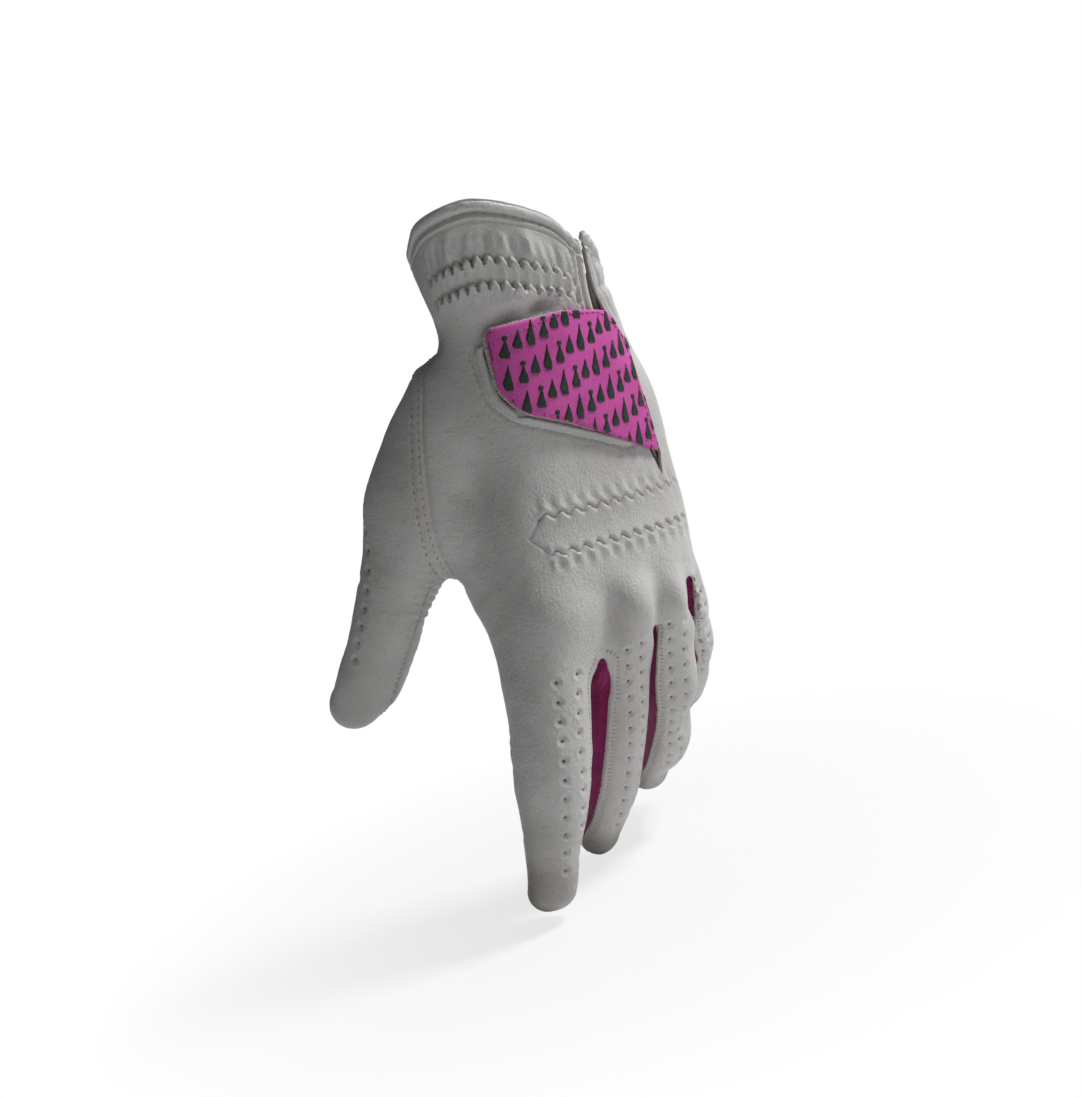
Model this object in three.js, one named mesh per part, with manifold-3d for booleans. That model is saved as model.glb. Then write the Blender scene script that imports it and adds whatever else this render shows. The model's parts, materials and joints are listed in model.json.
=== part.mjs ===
// Left-hand golf glove, shaped as it is worn: back of the hand towards -Y, palm towards +Y,
// little finger towards +X, thumb towards -X, wrist opening at the top (+Z). Millimetres.
import * as THREE from "three";
import { mergeVertices } from "three/addons/utils/BufferGeometryUtils.js";
import Module from "manifold-3d";

const wasm = await Module();
wasm.setup();

// ---------- driving dimensions ----------
const WALL = 1; // leather with its turned seams
const GAP = 0.35; // clearance between neighbouring pieces
const RING_SIDES = 12; // facets round a finger
const HAND_SIDES = 28; // facets round the hand

// Each finger: knuckle centre, splay in the plane of the palm, bend at its three joints (degrees),
// bone lengths, and half the width at knuckle, middle joint, end joint and tip.
const FINGERS = {
  index: {
    knuckle: [-28, 1, 5.5], splay: -14, bends: [3, 3, 5], bones: [40, 24, 18], half: [12.6, 11.5, 9.4, 7.5],
  },
  middle: {
    knuckle: [-7, -3, 2], splay: -1, bends: [22, 5, 10], bones: [44, 26, 18], half: [11.5, 10.6, 9, 7.4],
  },
  ring: {
    knuckle: [9, -1.5, -1], splay: 11, bends: [23, 16, 11], bones: [40, 26, 18], half: [10.2, 9.4, 8.2, 6.9],
  },
  little: {
    knuckle: [21, 2, 0], splay: 23, bends: [30, 15, 8], bones: [34, 20, 16], half: [9.2, 8.2, 7.3, 6.2],
  },
};
const FLATNESS = 0.9; // a finger's thickness over its width

// The thumb's joint centres from its root to its tip, half its width at each,
// and the line its joints turn about.
const THUMB = {
  joints: [[-18, 8, 88], [-31, 14, 74], [-53, 28, 34], [-65, 41, 6], [-69, 55, -8]],
  half: [12, 16, 13, 11, 8.8],
  side: [0.8, -0.6, 0],
};
// The web of leather between thumb and forefinger: its centre line, and half its depth and thickness.
const WEB = {
  line: [[-36, 15, 60], [-44, 21, 49], [-39.5, 15, 31], [-29, 4, -2]],
  depth: [9, 11, 10.5, 9],
  thickness: [8, 11, 8.5, 10],
};

// The hand's cross-sections, from below the knuckles to above the wrist opening:
// height, centre x and y, half width and half thickness.
const HAND = [
  { z: -18, x: -3, y: 5, a: 31, b: 8 },
  { z: -8, x: -4, y: 2.5, a: 34.5, b: 11.5 },
  { z: 6, x: -5, y: 1, a: 35, b: 13.5 },
  { z: 28, x: -5, y: 2, a: 34, b: 14.5 },
  { z: 52, x: -5.5, y: 3.5, a: 31.5, b: 16 },
  { z: 74, x: -7, y: 4, a: 29, b: 17 },
  { z: 90, x: -8, y: 4, a: 27.5, b: 17.5 },
  { z: 108, x: -8.5, y: 3, a: 28.5, b: 19.5 },
  { z: 134, x: -8, y: 1, a: 30.5, b: 22 },
];
const HAND_SQUARENESS = 2.3;

// The wrist opening lies in a plane: a point on it, and how much it rises per millimetre of x and y.
const RIM = { at: [-8, -17, 119.5], rise: [-0.46, -0.42] };
const BINDING = { depth: 3, thickness: 0.8 }; // the edge binding, folded over the leather
const LEATHER_EDGE = 1.2; // depth of the leather's own edge, inside the binding
const HEM_STITCH = 5; // depth of the stitching below the opening
const ELASTIC = 1; // thickness of the elastic strips and linings sewn inside
// The wrist's zigzag rows and elastic: depths below the opening, the rows' ends round the hand
// (degrees, from the slit to the thumb's side), and the x at which the elastic stops beside the slit.
const WRIST = { rows: [13.2, 19.5], span: [71, 172], elastic: [9.7, 19.5], right: 1.8 };
const ZIGZAG = { pitch: 5, height: 2.6 };
const THREAD = 0.35; // thread radius

// Outlines on the back of the hand, as x and z.
const TAB = [
  [-29.5, 90], [-28, 92], [-19, 92.5], [-6, 91], [10, 87.5], [17.2, 78], [17.2, 43],
  [4, 51], [-12, 60.5], [-25, 67.5], [-29.5, 74],
];
const TAB_LAYERS = { lining: [0.4, 1.4], leather: [1.75, 2.75] }; // heights above the back of the hand
const TAB_MIDDLE = [-6, 70]; // the hook tape ends and the suede starts at its x
const TAB_INNER = { sides: [-28, 16], shrink: 0.96 }; // the layer under the tab's leather
const TAB_STITCH = 3; // its stitching, in from the edge
const WINDOW = {
  left: -31, top: 88, corner: 73, low: [-26, 65.5], slope: -0.6, right: [[3.6, 87], [9.2, 46.5]],
};
const BACKING_LAP = 0.8; // the window's knit backing reaches this far under the leather
const LOOP_INSET = 1.5; // the loop patch stays this far inside the window
const PIPING = { radius: 0.8, out: 0.4, stitch: 3 }; // the window's bound edge and its stitching
const SLIT = { top: [6.4, 124], bend: [8, 88], end: [17.4, 34.6], half: 0.8 };
const FACING = { near: 1, wide: 2.2 }; // the turned strip along each side of the slit
// The double row of stitching beside the slit: distances from it and the heights of its ends.
const SLIT_STITCH = { offsets: [1.8, 3.4], heights: [94.5, 105.5] };
// The knuckles' elastic: its ends, its two rows of zigzag and the x at which each row ends.
const KNUCKLE_BAND = { left: -28, tip: -32.5, right: 24, rows: [33.8, 22.6], ends: [14, 24], slope: -0.1 };

// The line about which the cuff's side flap folds open, and the way it opens.
const FOLD = { low: [17.4, -9.6, 34.5], high: [20, 6, 97], outward: [0.75, -0.66, 0] };
// The thumb's set-in seam: a plane by three points, the plane that closes it at the top, and its low end.
const THUMB_SEAM = {
  plane: [[-41, 10.2, 84.5], [-50.2, 13.3, 32.1], [-22, 28, 45]],
  top: [-38, 12, 92],
  closing: [0.2, -0.3, -1],
  low: 12,
};
// The double row of stitching on the thumb side of that seam: distances from it, and where it runs.
const SEAM_STITCH = { offsets: [2, 4.2], z: [36, 84], right: -30, palm: 18 };

// The strips between the fingers: the share of the finger where each starts and ends, where a finger's
// own strips start, half their depth, and the share of half the finger's width at their inner edge.
const FOURCHETTE = { from: 0.12, to: 0.9, own: 0.28, deep: [6, 3.2], inner: 0.4 };
// The strips' turn between two fingers: its share of both fingers, half its size, and its y and z.
const CROTCH = { at: 0.2, half: [4.5, 5, 8], y: 3, z: -15 };

// Where the hinges lie: the middle of the row of knuckles, and shares of the length of each digit.
const KNUCKLES = [-5, 8, 2];
const MIDDLE_JOINT = 1 / 3;
const THUMB_JOINTS = { base: 0.54, tip: 3 / 4 }; // the base bends just clear of the web
// A digit's hinge, in shares of half its width: set palmward by this, cut this deep and this wide.
const HINGE = { palmward: 0.5, reach: 2.2, wide: 1.6 };
const KNUCKLE_CUT = { reach: 22, wide: 40 };
const FOLD_CUT = { reach: 9, length: 90 };
const SPARE_TURN = 2; // degrees left free beyond each limit

// How far each joint turns from rest, in degrees: straightening, then closing or opening.
const BEND = {
  fingers: [-12, 50],
  index: [-3, 75],
  middle: [-5, 75],
  ring: [-14, 65],
  little: [-14, 65],
  thumb: [-12, 10],
  thumb_tip: [-15, 30],
  cuff_flap: [0, 30],
};

// Points near the middle of the pieces that the cuts leave, by which they are told apart.
const FLAP_NEAR = { leather: [13, -12, 75], binding: [14, -8, 103], stitching: [14, -8, 100] };
const KNUCKLES_NEAR = [-4, 5, -20];
const DIGIT_NEAR = { finger: 0.75, thumb: 0.63, thumb_tip: 0.95 }; // shares of the digit's length

// ---------- geometry helpers ----------
const rad = THREE.MathUtils.degToRad;
const vec = (p) => new THREE.Vector3(...p);
const X = new THREE.Vector3(1, 0, 0);
const Y = new THREE.Vector3(0, 1, 0);
const Z = new THREE.Vector3(0, 0, 1);
const FAR = 200; // longer than any part of the glove
const spread = (from, to, count) => (
  Array.from({ length: count }, (_, i) => THREE.MathUtils.lerp(from, to, i / (count - 1)))
);

// A manifold-3d solid from a closed three.js geometry.
function solid(geometry) {
  const bare = new THREE.BufferGeometry().setAttribute("position", geometry.getAttribute("position"));
  if (geometry.index) bare.setIndex(geometry.index);
  const merged = mergeVertices(bare, 1e-4);
  return new wasm.Manifold(new wasm.Mesh({
    numProp: 3,
    vertProperties: merged.getAttribute("position").array,
    triVerts: new Uint32Array(merged.index.array),
  }));
}

// A closed solid over rings of points, capped by a fan at each end.
function skin(rings) {
  const sides = rings[0].length;
  const points = rings.flat();
  const first = points.length;
  const centre = (ring) => ring.reduce((sum, p) => sum.add(p), new THREE.Vector3()).divideScalar(sides);
  points.push(centre(rings[0]), centre(rings.at(-1)));
  const index = [];
  for (let i = 0; i < rings.length - 1; i++) {
    for (let j = 0; j < sides; j++) {
      const k = (j + 1) % sides;
      const [p, q, r, s] = [i * sides + j, i * sides + k, (i + 1) * sides + j, (i + 1) * sides + k];
      index.push(p, q, r, q, s, r);
    }
  }
  const last = (rings.length - 1) * sides;
  for (let j = 0; j < sides; j++) {
    const k = (j + 1) % sides;
    index.push(first, k, j, first + 1, last + j, last + k);
  }
  const geometry = new THREE.BufferGeometry().setFromPoints(points);
  geometry.setIndex(index);
  const made = solid(geometry);
  return made.volume() > 0 ? made : skin(rings.reverse());
}

// The ring of a superellipse with half axes a along u and b along v.
function ring(centre, u, v, a, b, sides, squareness = 2) {
  const round = (x) => Math.sign(x) * Math.abs(x) ** (2 / squareness);
  return Array.from({ length: sides }, (_, i) => {
    const t = (i / sides) * 2 * Math.PI;
    const [across, up] = [a * round(Math.cos(t)), b * round(Math.sin(t))];
    return centre.clone().addScaledVector(u, across).addScaledVector(v, up);
  });
}

const curveThrough = (points) => new THREE.CatmullRomCurve3(points, false, "centripetal");

// A value that runs smoothly through the given ones as t goes from 0 to 1.
function valueAt(values, t) {
  return curveThrough(values.map((value, i) => new THREE.Vector3(i, value, 0))).getPoint(t).y;
}

// The frame along a curve at t: its point, its direction, the way the palm faces and the way across.
function frameAt(curve, side, t) {
  const along = curve.getTangent(t);
  const palmward = new THREE.Vector3().crossVectors(side, along).normalize();
  const across = new THREE.Vector3().crossVectors(along, palmward).normalize();
  return { centre: curve.getPoint(t), along, palmward, across };
}

// A prism from an outline in x and z, through the back of the hand.
function backPrism(outline) {
  const shape = new THREE.Shape(outline.map(([x, z]) => new THREE.Vector2(x, z)));
  return solid(new THREE.ExtrudeGeometry(shape, { depth: FAR, bevelEnabled: false }).rotateX(Math.PI / 2));
}

// The half-space beyond a plane, as a large box on the side its normal points to.
function beyond(point, normal) {
  const box = new THREE.BoxGeometry(2 * FAR, 2 * FAR, FAR).translate(0, 0, FAR / 2);
  box.applyQuaternion(new THREE.Quaternion().setFromUnitVectors(Z, normal));
  return solid(box.translate(point.x, point.y, point.z));
}

// The slice between two planes with the given normal, at distances from a point.
function slice(point, normal, near, far) {
  const plane = (distance) => point.clone().addScaledVector(normal, distance);
  return beyond(plane(near), normal).intersect(beyond(plane(far), normal.clone().negate()));
}

// A square-section thread through the given points, mitred at each, its ends square.
function cord(points, radius = THREAD, sides = 4, closed = false) {
  const n = points.length;
  const at = (i) => points[closed ? (i + n) % n : Math.min(n - 1, Math.max(0, i))];
  let normal = new THREE.Vector3();
  const rings = points.map((p, i) => {
    const along = at(i + 1).clone().sub(at(i - 1)).normalize();
    if (i === 0) normal.crossVectors(along, Math.abs(along.z) < 0.8 ? Z : X);
    normal = normal.clone().addScaledVector(along, -normal.dot(along)).normalize();
    const other = new THREE.Vector3().crossVectors(along, normal);
    return ring(p, normal, other, radius, radius, sides);
  });
  if (!closed) return skin(rings);
  const half = Math.floor(n / 2);
  return skin(rings.slice(0, half + 1)).add(skin([...rings.slice(half), rings[0]]));
}

const boxCentre = (part) => {
  const { min, max } = part.boundingBox();
  return vec(min).add(vec(max)).multiplyScalar(0.5);
};

// The one body of a cut solid whose box has its middle nearest to a point.
function nearest(part, point) {
  const bodies = part.decompose().filter((body) => body.volume() > 2);
  const distance = (body) => boxCentre(body).distanceTo(vec(point));
  return bodies.sort((a, b) => distance(a) - distance(b))[0];
}
const largest = (part) => part.decompose().sort((a, b) => b.volume() - a.volume())[0];

// ---------- the worn shape ----------
// The hand's cross-section at a height, by cubic interpolation of its table.
function handSection(z) {
  const i = Math.max(0, HAND.findLastIndex((s, k) => s.z <= z && k < HAND.length - 1));
  const [before, after] = [Math.max(0, i - 1), Math.min(HAND.length - 1, i + 2)];
  const [p0, p1, p2, p3] = [HAND[before], HAND[i], HAND[i + 1], HAND[after]];
  const span = p2.z - p1.z;
  const t = (z - p1.z) / span;
  const value = (key) => {
    const m1 = ((p2[key] - p0[key]) / (p2.z - p0.z)) * span;
    const m2 = ((p3[key] - p1[key]) / (p3.z - p1.z)) * span;
    return (2 * t ** 3 - 3 * t ** 2 + 1) * p1[key] + (t ** 3 - 2 * t ** 2 + t) * m1
      + (-2 * t ** 3 + 3 * t ** 2) * p2[key] + (t ** 3 - t ** 2) * m2;
  };
  return { x: value("x"), y: value("y"), a: value("a"), b: value("b") };
}

// A point on the back of the hand, raised off the leather.
function backPoint(x, z, raised = 0) {
  const s = handSection(z);
  const share = Math.min(0.999, Math.abs((x - s.x) / (s.a + raised))) ** HAND_SQUARENESS;
  return new THREE.Vector3(x, s.y - (s.b + raised) * (1 - share) ** (1 / HAND_SQUARENESS), z);
}

// A point round the hand at an angle: 0 is the little finger's side and 90 degrees the back.
function roundPoint(angle, heightAt, raised = 0) {
  const power = (x) => Math.sign(x) * Math.abs(x) ** (2 / HAND_SQUARENESS);
  let point = new THREE.Vector3(0, 0, heightAt(0, 0));
  for (let pass = 0; pass < 8; pass++) {
    const s = handSection(point.z);
    const x = s.x + (s.a + raised) * power(Math.cos(rad(angle)));
    const y = s.y - (s.b + raised) * power(Math.sin(rad(angle)));
    point = new THREE.Vector3(x, y, heightAt(x, y));
  }
  return point;
}

function handSolid(inset) {
  const low = HAND[0].z + inset;
  const high = HAND.at(-1).z;
  const steps = 10;
  return skin(Array.from({ length: steps + 1 }, (_, i) => {
    const z = low + ((high - low) * i) / steps;
    const s = handSection(z);
    return ring(new THREE.Vector3(s.x, s.y, z), X, Y, s.a - inset, s.b - inset, HAND_SIDES, HAND_SQUARENESS);
  }));
}

function webSolid(inset) {
  const curve = curveThrough(WEB.line.map(vec));
  const steps = 6;
  return skin(Array.from({ length: steps + 1 }, (_, i) => {
    const t = i / steps;
    const along = curve.getTangent(t);
    const down = new THREE.Vector3(0, 0, -1).addScaledVector(along, along.z).normalize();
    const across = new THREE.Vector3().crossVectors(along, down).normalize();
    const [depth, thickness] = [valueAt(WEB.depth, t) - inset, valueAt(WEB.thickness, t) - inset];
    return ring(curve.getPoint(t), down, across, depth, thickness, RING_SIDES);
  }));
}

// A finger's side direction and joint centres, from its table of angles and lengths.
function fingerLine({ knuckle, splay, bends, bones }) {
  const side = new THREE.Vector3(Math.cos(rad(splay)), 0, Math.sin(rad(splay)));
  const joints = [vec(knuckle)];
  let bend = 0;
  bones.forEach((length, i) => {
    bend += rad(bends[i]);
    const [out, down] = [Math.sin(bend), Math.cos(bend)];
    const along = new THREE.Vector3(Math.sin(rad(splay)) * down, out, -Math.cos(rad(splay)) * down);
    joints.push(joints.at(-1).clone().addScaledVector(along, length));
  });
  return { side, joints };
}

// Fingers and thumb as digits: a centre curve, half widths along it, and the line its joints turn about.
const DIGITS = {
  thumb: { curve: curveThrough(THUMB.joints.map(vec)), half: THUMB.half, side: vec(THUMB.side) },
};
for (const [name, table] of Object.entries(FINGERS)) {
  const { side, joints } = fingerLine(table);
  DIGITS[name] = { curve: curveThrough(joints), half: table.half, side };
}

function digitSolid({ curve, half, side }, inset) {
  const steps = (half.length - 1) * 2;
  const place = (t, turn) => {
    const f = frameAt(curve, side, t);
    const width = valueAt(half, t) - inset;
    f.centre.addScaledVector(f.along, Math.sin(turn) * width);
    const narrowed = width * Math.cos(turn);
    return ring(f.centre, f.across, f.palmward, narrowed, narrowed * FLATNESS, RING_SIDES);
  };
  const rings = Array.from({ length: steps + 1 }, (_, i) => place(i / steps, 0));
  for (const turn of [32, 60, 80]) rings.push(place(1, rad(turn)));
  return skin(rings);
}

// The whole worn shape, shrunk by inset on every side. A negative inset grows it.
const worn = new Map();
function wornSolid(inset) {
  if (!worn.has(inset)) {
    let all = handSolid(inset).add(webSolid(inset));
    for (const digit of Object.values(DIGITS)) all = all.add(digitSolid(digit, inset));
    worn.set(inset, all);
  }
  return worn.get(inset);
}

// The layer between two heights above the leather's outer face, over the whole glove or the hand alone.
const layer = (low, high) => wornSolid(-high).subtract(wornSolid(-low));
const handLayer = (low, high) => handSolid(-high).subtract(handSolid(-low));
const INSIDE = [-WALL - GAP - ELASTIC, -WALL - GAP]; // strips sewn to the leather's inner face
const THREADS = [GAP, GAP + 2 * THREAD]; // stitching on its outer face

// ---------- cutting tools ----------
const rimNormal = new THREE.Vector3(-RIM.rise[0], -RIM.rise[1], 1).normalize();
const rimHeight = (x, y) => RIM.at[2] + RIM.rise[0] * (x - RIM.at[0]) + RIM.rise[1] * (y - RIM.at[1]);
const rimSlice = (from, to) => slice(vec(RIM.at), rimNormal, -to, -from);
const aboveRim = (height) => beyond(vec(RIM.at).addScaledVector(rimNormal, height), rimNormal);
const leftOf = (x) => beyond(new THREE.Vector3(x, 0, 0), X.clone().negate());
const rightOf = (x) => beyond(new THREE.Vector3(x, 0, 0), X);
const backHalf = beyond(new THREE.Vector3(), Y.clone().negate());

// A strip along the slit, between two distances beside it. It narrows to nothing at the slit's lower end.
function besideSlit(left, right, pointed = false) {
  const { top, bend, end } = SLIT;
  const shifted = (by, list) => list.map(([x, z]) => [x + by, z]);
  const lower = pointed ? [end] : shifted(left, [end]);
  const back = pointed ? shifted(right, [bend, top]) : shifted(right, [end, bend, top]);
  return backPrism([...shifted(left, [top, bend]), ...lower, ...back]);
}
const slitX = (z) => {
  const [from, to] = z > SLIT.bend[1] ? [SLIT.top, SLIT.bend] : [SLIT.bend, SLIT.end];
  return THREE.MathUtils.mapLinear(z, from[1], to[1], from[0], to[0]);
};

// The window's outline, grown by a margin.
function windowOutline(grow) {
  const { left, top, corner, low, slope, right } = WINDOW;
  const lowAt = (x) => low[1] + slope * (x - low[0]) - grow * Math.hypot(1, slope);
  const [upperX, lowerX] = [right[0][0] + grow, right[1][0] + grow];
  return [
    [left - grow, top + grow], [upperX, top + grow], [lowerX, lowAt(lowerX)],
    [low[0], lowAt(low[0])], [left - grow, corner + grow * slope],
  ];
}

// A bow-tie prism about a hinge: room for the far side to turn towards `to` and away from it.
function hingeGap(pivot, to, along, [straightens, closes], reach, lengths) {
  const near = reach * Math.tan(rad((closes + SPARE_TURN) / 2)) + GAP;
  const back = reach * Math.tan(rad((SPARE_TURN - straightens) / 2)) + GAP;
  const outline = [[-reach, -back], [0, -GAP], [reach, -near], [reach, near], [0, GAP], [-reach, back]];
  const shape = new THREE.Shape(outline.map(([x, y]) => new THREE.Vector2(x, y)));
  const geometry = new THREE.ExtrudeGeometry(shape, { depth: lengths[0] + lengths[1], bevelEnabled: false });
  geometry.translate(0, 0, -lengths[1]);
  const basis = new THREE.Matrix4().makeBasis(to, along, new THREE.Vector3().crossVectors(to, along));
  return solid(geometry.applyMatrix4(basis.setPosition(pivot)));
}

// The gap of a hinge at share t of a digit, set towards the palm side of its middle.
function digitGap(name, t, range) {
  const { curve, half, side } = DIGITS[name];
  const f = frameAt(curve, side, t);
  const width = valueAt(half, t);
  const pivot = f.centre.clone().addScaledVector(f.palmward, width * FLATNESS * HINGE.palmward);
  const wide = width * HINGE.wide;
  return hingeGap(pivot, f.palmward, f.along, range, width * HINGE.reach, [wide, wide]);
}

// The fold of the cuff's side flap.
const foldLow = vec(FOLD.low);
const foldAlong = vec(FOLD.high).sub(foldLow).normalize();
const foldOut = vec(FOLD.outward).addScaledVector(foldAlong, -vec(FOLD.outward).dot(foldAlong)).normalize();
const foldAcross = new THREE.Vector3().crossVectors(foldOut, foldAlong);
const foldCut = hingeGap(foldLow, foldOut, foldAcross, BEND.cuff_flap, FOLD_CUT.reach, [1, FOLD_CUT.length]);

const knuckleWide = [KNUCKLE_CUT.wide, KNUCKLE_CUT.wide];
const hingeCuts = [
  hingeGap(vec(KNUCKLES), Y, Z.clone().negate(), BEND.fingers, KNUCKLE_CUT.reach, knuckleWide),
  ...Object.keys(FINGERS).map((name) => digitGap(name, MIDDLE_JOINT, BEND[name])),
  digitGap("thumb", THUMB_JOINTS.base, BEND.thumb),
  digitGap("thumb", THUMB_JOINTS.tip, BEND.thumb_tip),
  foldCut,
];

// The plane of the thumb's set-in seam; its normal points to the thumb.
const [seamA, seamB, seamC] = THUMB_SEAM.plane.map(vec);
const seamNormal = seamB.clone().sub(seamA).cross(seamC.clone().sub(seamA)).normalize().negate();
const seamTop = vec(THUMB_SEAM.closing).normalize();
const thumbSide = (grow) => beyond(seamA.clone().addScaledVector(seamNormal, -grow), seamNormal)
  .intersect(beyond(vec(THUMB_SEAM.top).addScaledVector(seamTop, -grow), seamTop))
  .intersect(beyond(new THREE.Vector3(0, 0, THUMB_SEAM.low - grow), Z));

// A strip between two fingers along one finger's side:
// side -1 is the thumb's side and +1 the little finger's. It reaches clear of the finger.
function fourchetteTool(name, side, grow, from = FOURCHETTE.from) {
  const { curve, half, side: turn } = DIGITS[name];
  const steps = 5;
  return skin(Array.from({ length: steps + 1 }, (_, i) => {
    const t = THREE.MathUtils.lerp(from, FOURCHETTE.to + grow / 80, i / steps);
    const f = frameAt(curve, turn, t);
    const width = valueAt(half, t);
    const deep = THREE.MathUtils.mapLinear(t, FOURCHETTE.from, FOURCHETTE.to, ...FOURCHETTE.deep) + grow;
    const [inner, outer] = [FOURCHETTE.inner * width, 1.1 * width + 1];
    const corner = (out, p) => f.centre.clone()
      .addScaledVector(f.across, side * out)
      .addScaledVector(f.palmward, p * deep);
    return [corner(inner, -1), corner(outer, -1), corner(outer, 1), corner(inner, 1)];
  }));
}

// The turn of the strips between two neighbouring fingers, with both fingers' sides.
function crotchTool(first, second, grow) {
  const [a, b] = [first, second].map((name) => DIGITS[name].curve.getPoint(CROTCH.at).x);
  const [x, y, z] = CROTCH.half.map((half) => 2 * (half + grow));
  const box = new THREE.BoxGeometry(x, y, z).translate((a + b) / 2, CROTCH.y, CROTCH.z);
  return solid(box).add(fourchetteTool(first, 1, grow)).add(fourchetteTool(second, -1, grow));
}

// ---------- materials ----------
const material = (color, roughness) => new THREE.MeshStandardMaterial({ color, roughness });
const leather = material(0xc6c6c2, 0.5);
const pinkLeather = material(0xb8247c, 0.5);
const pinkKnit = material(0x8e1a60, 0.8);
const whiteTape = material(0xcfcfca, 0.6);
const elasticBand = material(0xd8d8d4, 0.85);
const thread = material(0xe2e2de, 0.7);
const pinkThread = material(0xd0559e, 0.7);
const loopPile = material(0x9c2270, 0.95);
const hookTape = material(0x3a3138, 0.8);
const suede = material(0xa9a6a0, 0.95);

const glove = new THREE.Group();
function addNode(name, part, look) {
  const mesh = part.getMesh();
  const geometry = new THREE.BufferGeometry();
  geometry.setAttribute("position", new THREE.BufferAttribute(mesh.vertProperties.slice(), 3));
  geometry.setIndex(new THREE.BufferAttribute(mesh.triVerts.slice(), 1));
  const made = new THREE.Mesh(geometry, look.clone());
  made.name = name;
  glove.add(made);
}

// ---------- the leather, cut at every hinge ----------
const slitCut = besideSlit(-SLIT.half, SLIT.half, true);
let shell = layer(-WALL, 0).subtract(aboveRim(-LEATHER_EDGE));
for (const cut of hingeCuts) shell = shell.subtract(cut);
shell = shell.subtract(slitCut).subtract(backPrism(windowOutline(0)));

const handPiece = largest(shell);
addNode("hand_leather", largest(handPiece.subtract(thumbSide(GAP))), leather);
addNode("thumb_base_leather", largest(handPiece.intersect(thumbSide(0))), leather);
addNode("cuff_flap_leather", nearest(shell, FLAP_NEAR.leather), leather);

const CROTCHES = [["index", "middle"], ["middle", "ring"], ["ring", "little"]];
const knucklePiece = nearest(shell, KNUCKLES_NEAR);
let knuckleLeather = knucklePiece;
for (const [first, second] of CROTCHES) {
  knuckleLeather = knuckleLeather.subtract(crotchTool(first, second, GAP));
  const strip = largest(knucklePiece.intersect(crotchTool(first, second, 0)));
  addNode(`fourchette_${first}_${second}`, strip, pinkKnit);
}
addNode("knuckle_leather", largest(knuckleLeather), leather);

// The index finger has no strip on the thumb's side, nor the little finger on its outer side.
const digitPiece = (name, t) => nearest(shell, DIGITS[name].curve.getPoint(t).toArray());
for (const name of Object.keys(FINGERS)) {
  const piece = digitPiece(name, DIGIT_NEAR.finger);
  let rest = piece;
  for (const side of [-1, 1]) {
    if (name === (side < 0 ? "index" : "little")) continue;
    rest = rest.subtract(fourchetteTool(name, side, GAP, FOURCHETTE.own));
    const strip = largest(piece.intersect(fourchetteTool(name, side, 0, FOURCHETTE.own)));
    addNode(`${name}_fourchette_${side < 0 ? "thumb" : "outer"}_side`, strip, pinkKnit);
  }
  addNode(`${name}_leather`, largest(rest), leather);
}
addNode("thumb_leather", digitPiece("thumb", DIGIT_NEAR.thumb), leather);
addNode("thumb_tip_leather", digitPiece("thumb", DIGIT_NEAR.thumb_tip), leather);

// ---------- the cuff ----------
const bindingOver = layer(-WALL - GAP - BINDING.thickness, GAP + BINDING.thickness)
  .intersect(rimSlice(0, BINDING.depth));
const bindingHollow = layer(-WALL - GAP, GAP)
  .intersect(rimSlice(BINDING.thickness, 2 * BINDING.depth));
const binding = bindingOver.subtract(bindingHollow).subtract(foldCut).subtract(slitCut);
const hem = handLayer(...THREADS).intersect(rimSlice(HEM_STITCH, HEM_STITCH + 2 * THREAD))
  .subtract(foldCut).subtract(slitCut);
addNode("cuff_binding", largest(binding), whiteTape);
addNode("cuff_flap_binding", nearest(binding, FLAP_NEAR.binding), whiteTape);
addNode("cuff_stitching", largest(hem), thread);
addNode("cuff_flap_stitching", nearest(hem, FLAP_NEAR.stitching), thread);

const facings = layer(...INSIDE).subtract(aboveRim(-BINDING.depth - 1)).subtract(foldCut);
const facingEdges = [FACING.near, FACING.near + FACING.wide];
const leftFacing = besideSlit(-facingEdges[1], -facingEdges[0]);
addNode("slit_facing", largest(facings.intersect(leftFacing)), suede);
addNode("cuff_flap_facing", largest(facings.intersect(besideSlit(...facingEdges))), suede);

const wristBand = layer(...INSIDE).intersect(rimSlice(...WRIST.elastic)).intersect(backHalf);
addNode("wrist_elastic", largest(wristBand.intersect(leftOf(WRIST.right))), elasticBand);

// A zigzag of thread along a curve on the leather, its teeth across the given direction.
function zigzag(curve, across) {
  const teeth = Math.round((curve.getLength() / ZIGZAG.pitch) * 2);
  const spaced = curve.getSpacedPoints(teeth);
  return cord(spaced.map((p, i) => p.addScaledVector(across, (i % 2 ? 0.5 : -0.5) * ZIGZAG.height)));
}
const STITCH_LEVEL = GAP + THREAD + 0.15; // the height of a thread's middle above what it's sewn to
WRIST.rows.forEach((depth, i) => {
  const heightAt = (x, y) => rimHeight(x, y) - depth;
  const row = spread(...WRIST.span, 12).map((angle) => roundPoint(angle, heightAt, STITCH_LEVEL));
  addNode(`wrist_zigzag_${i ? "lower" : "upper"}`, zigzag(curveThrough(row), Z), thread);
});

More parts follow.
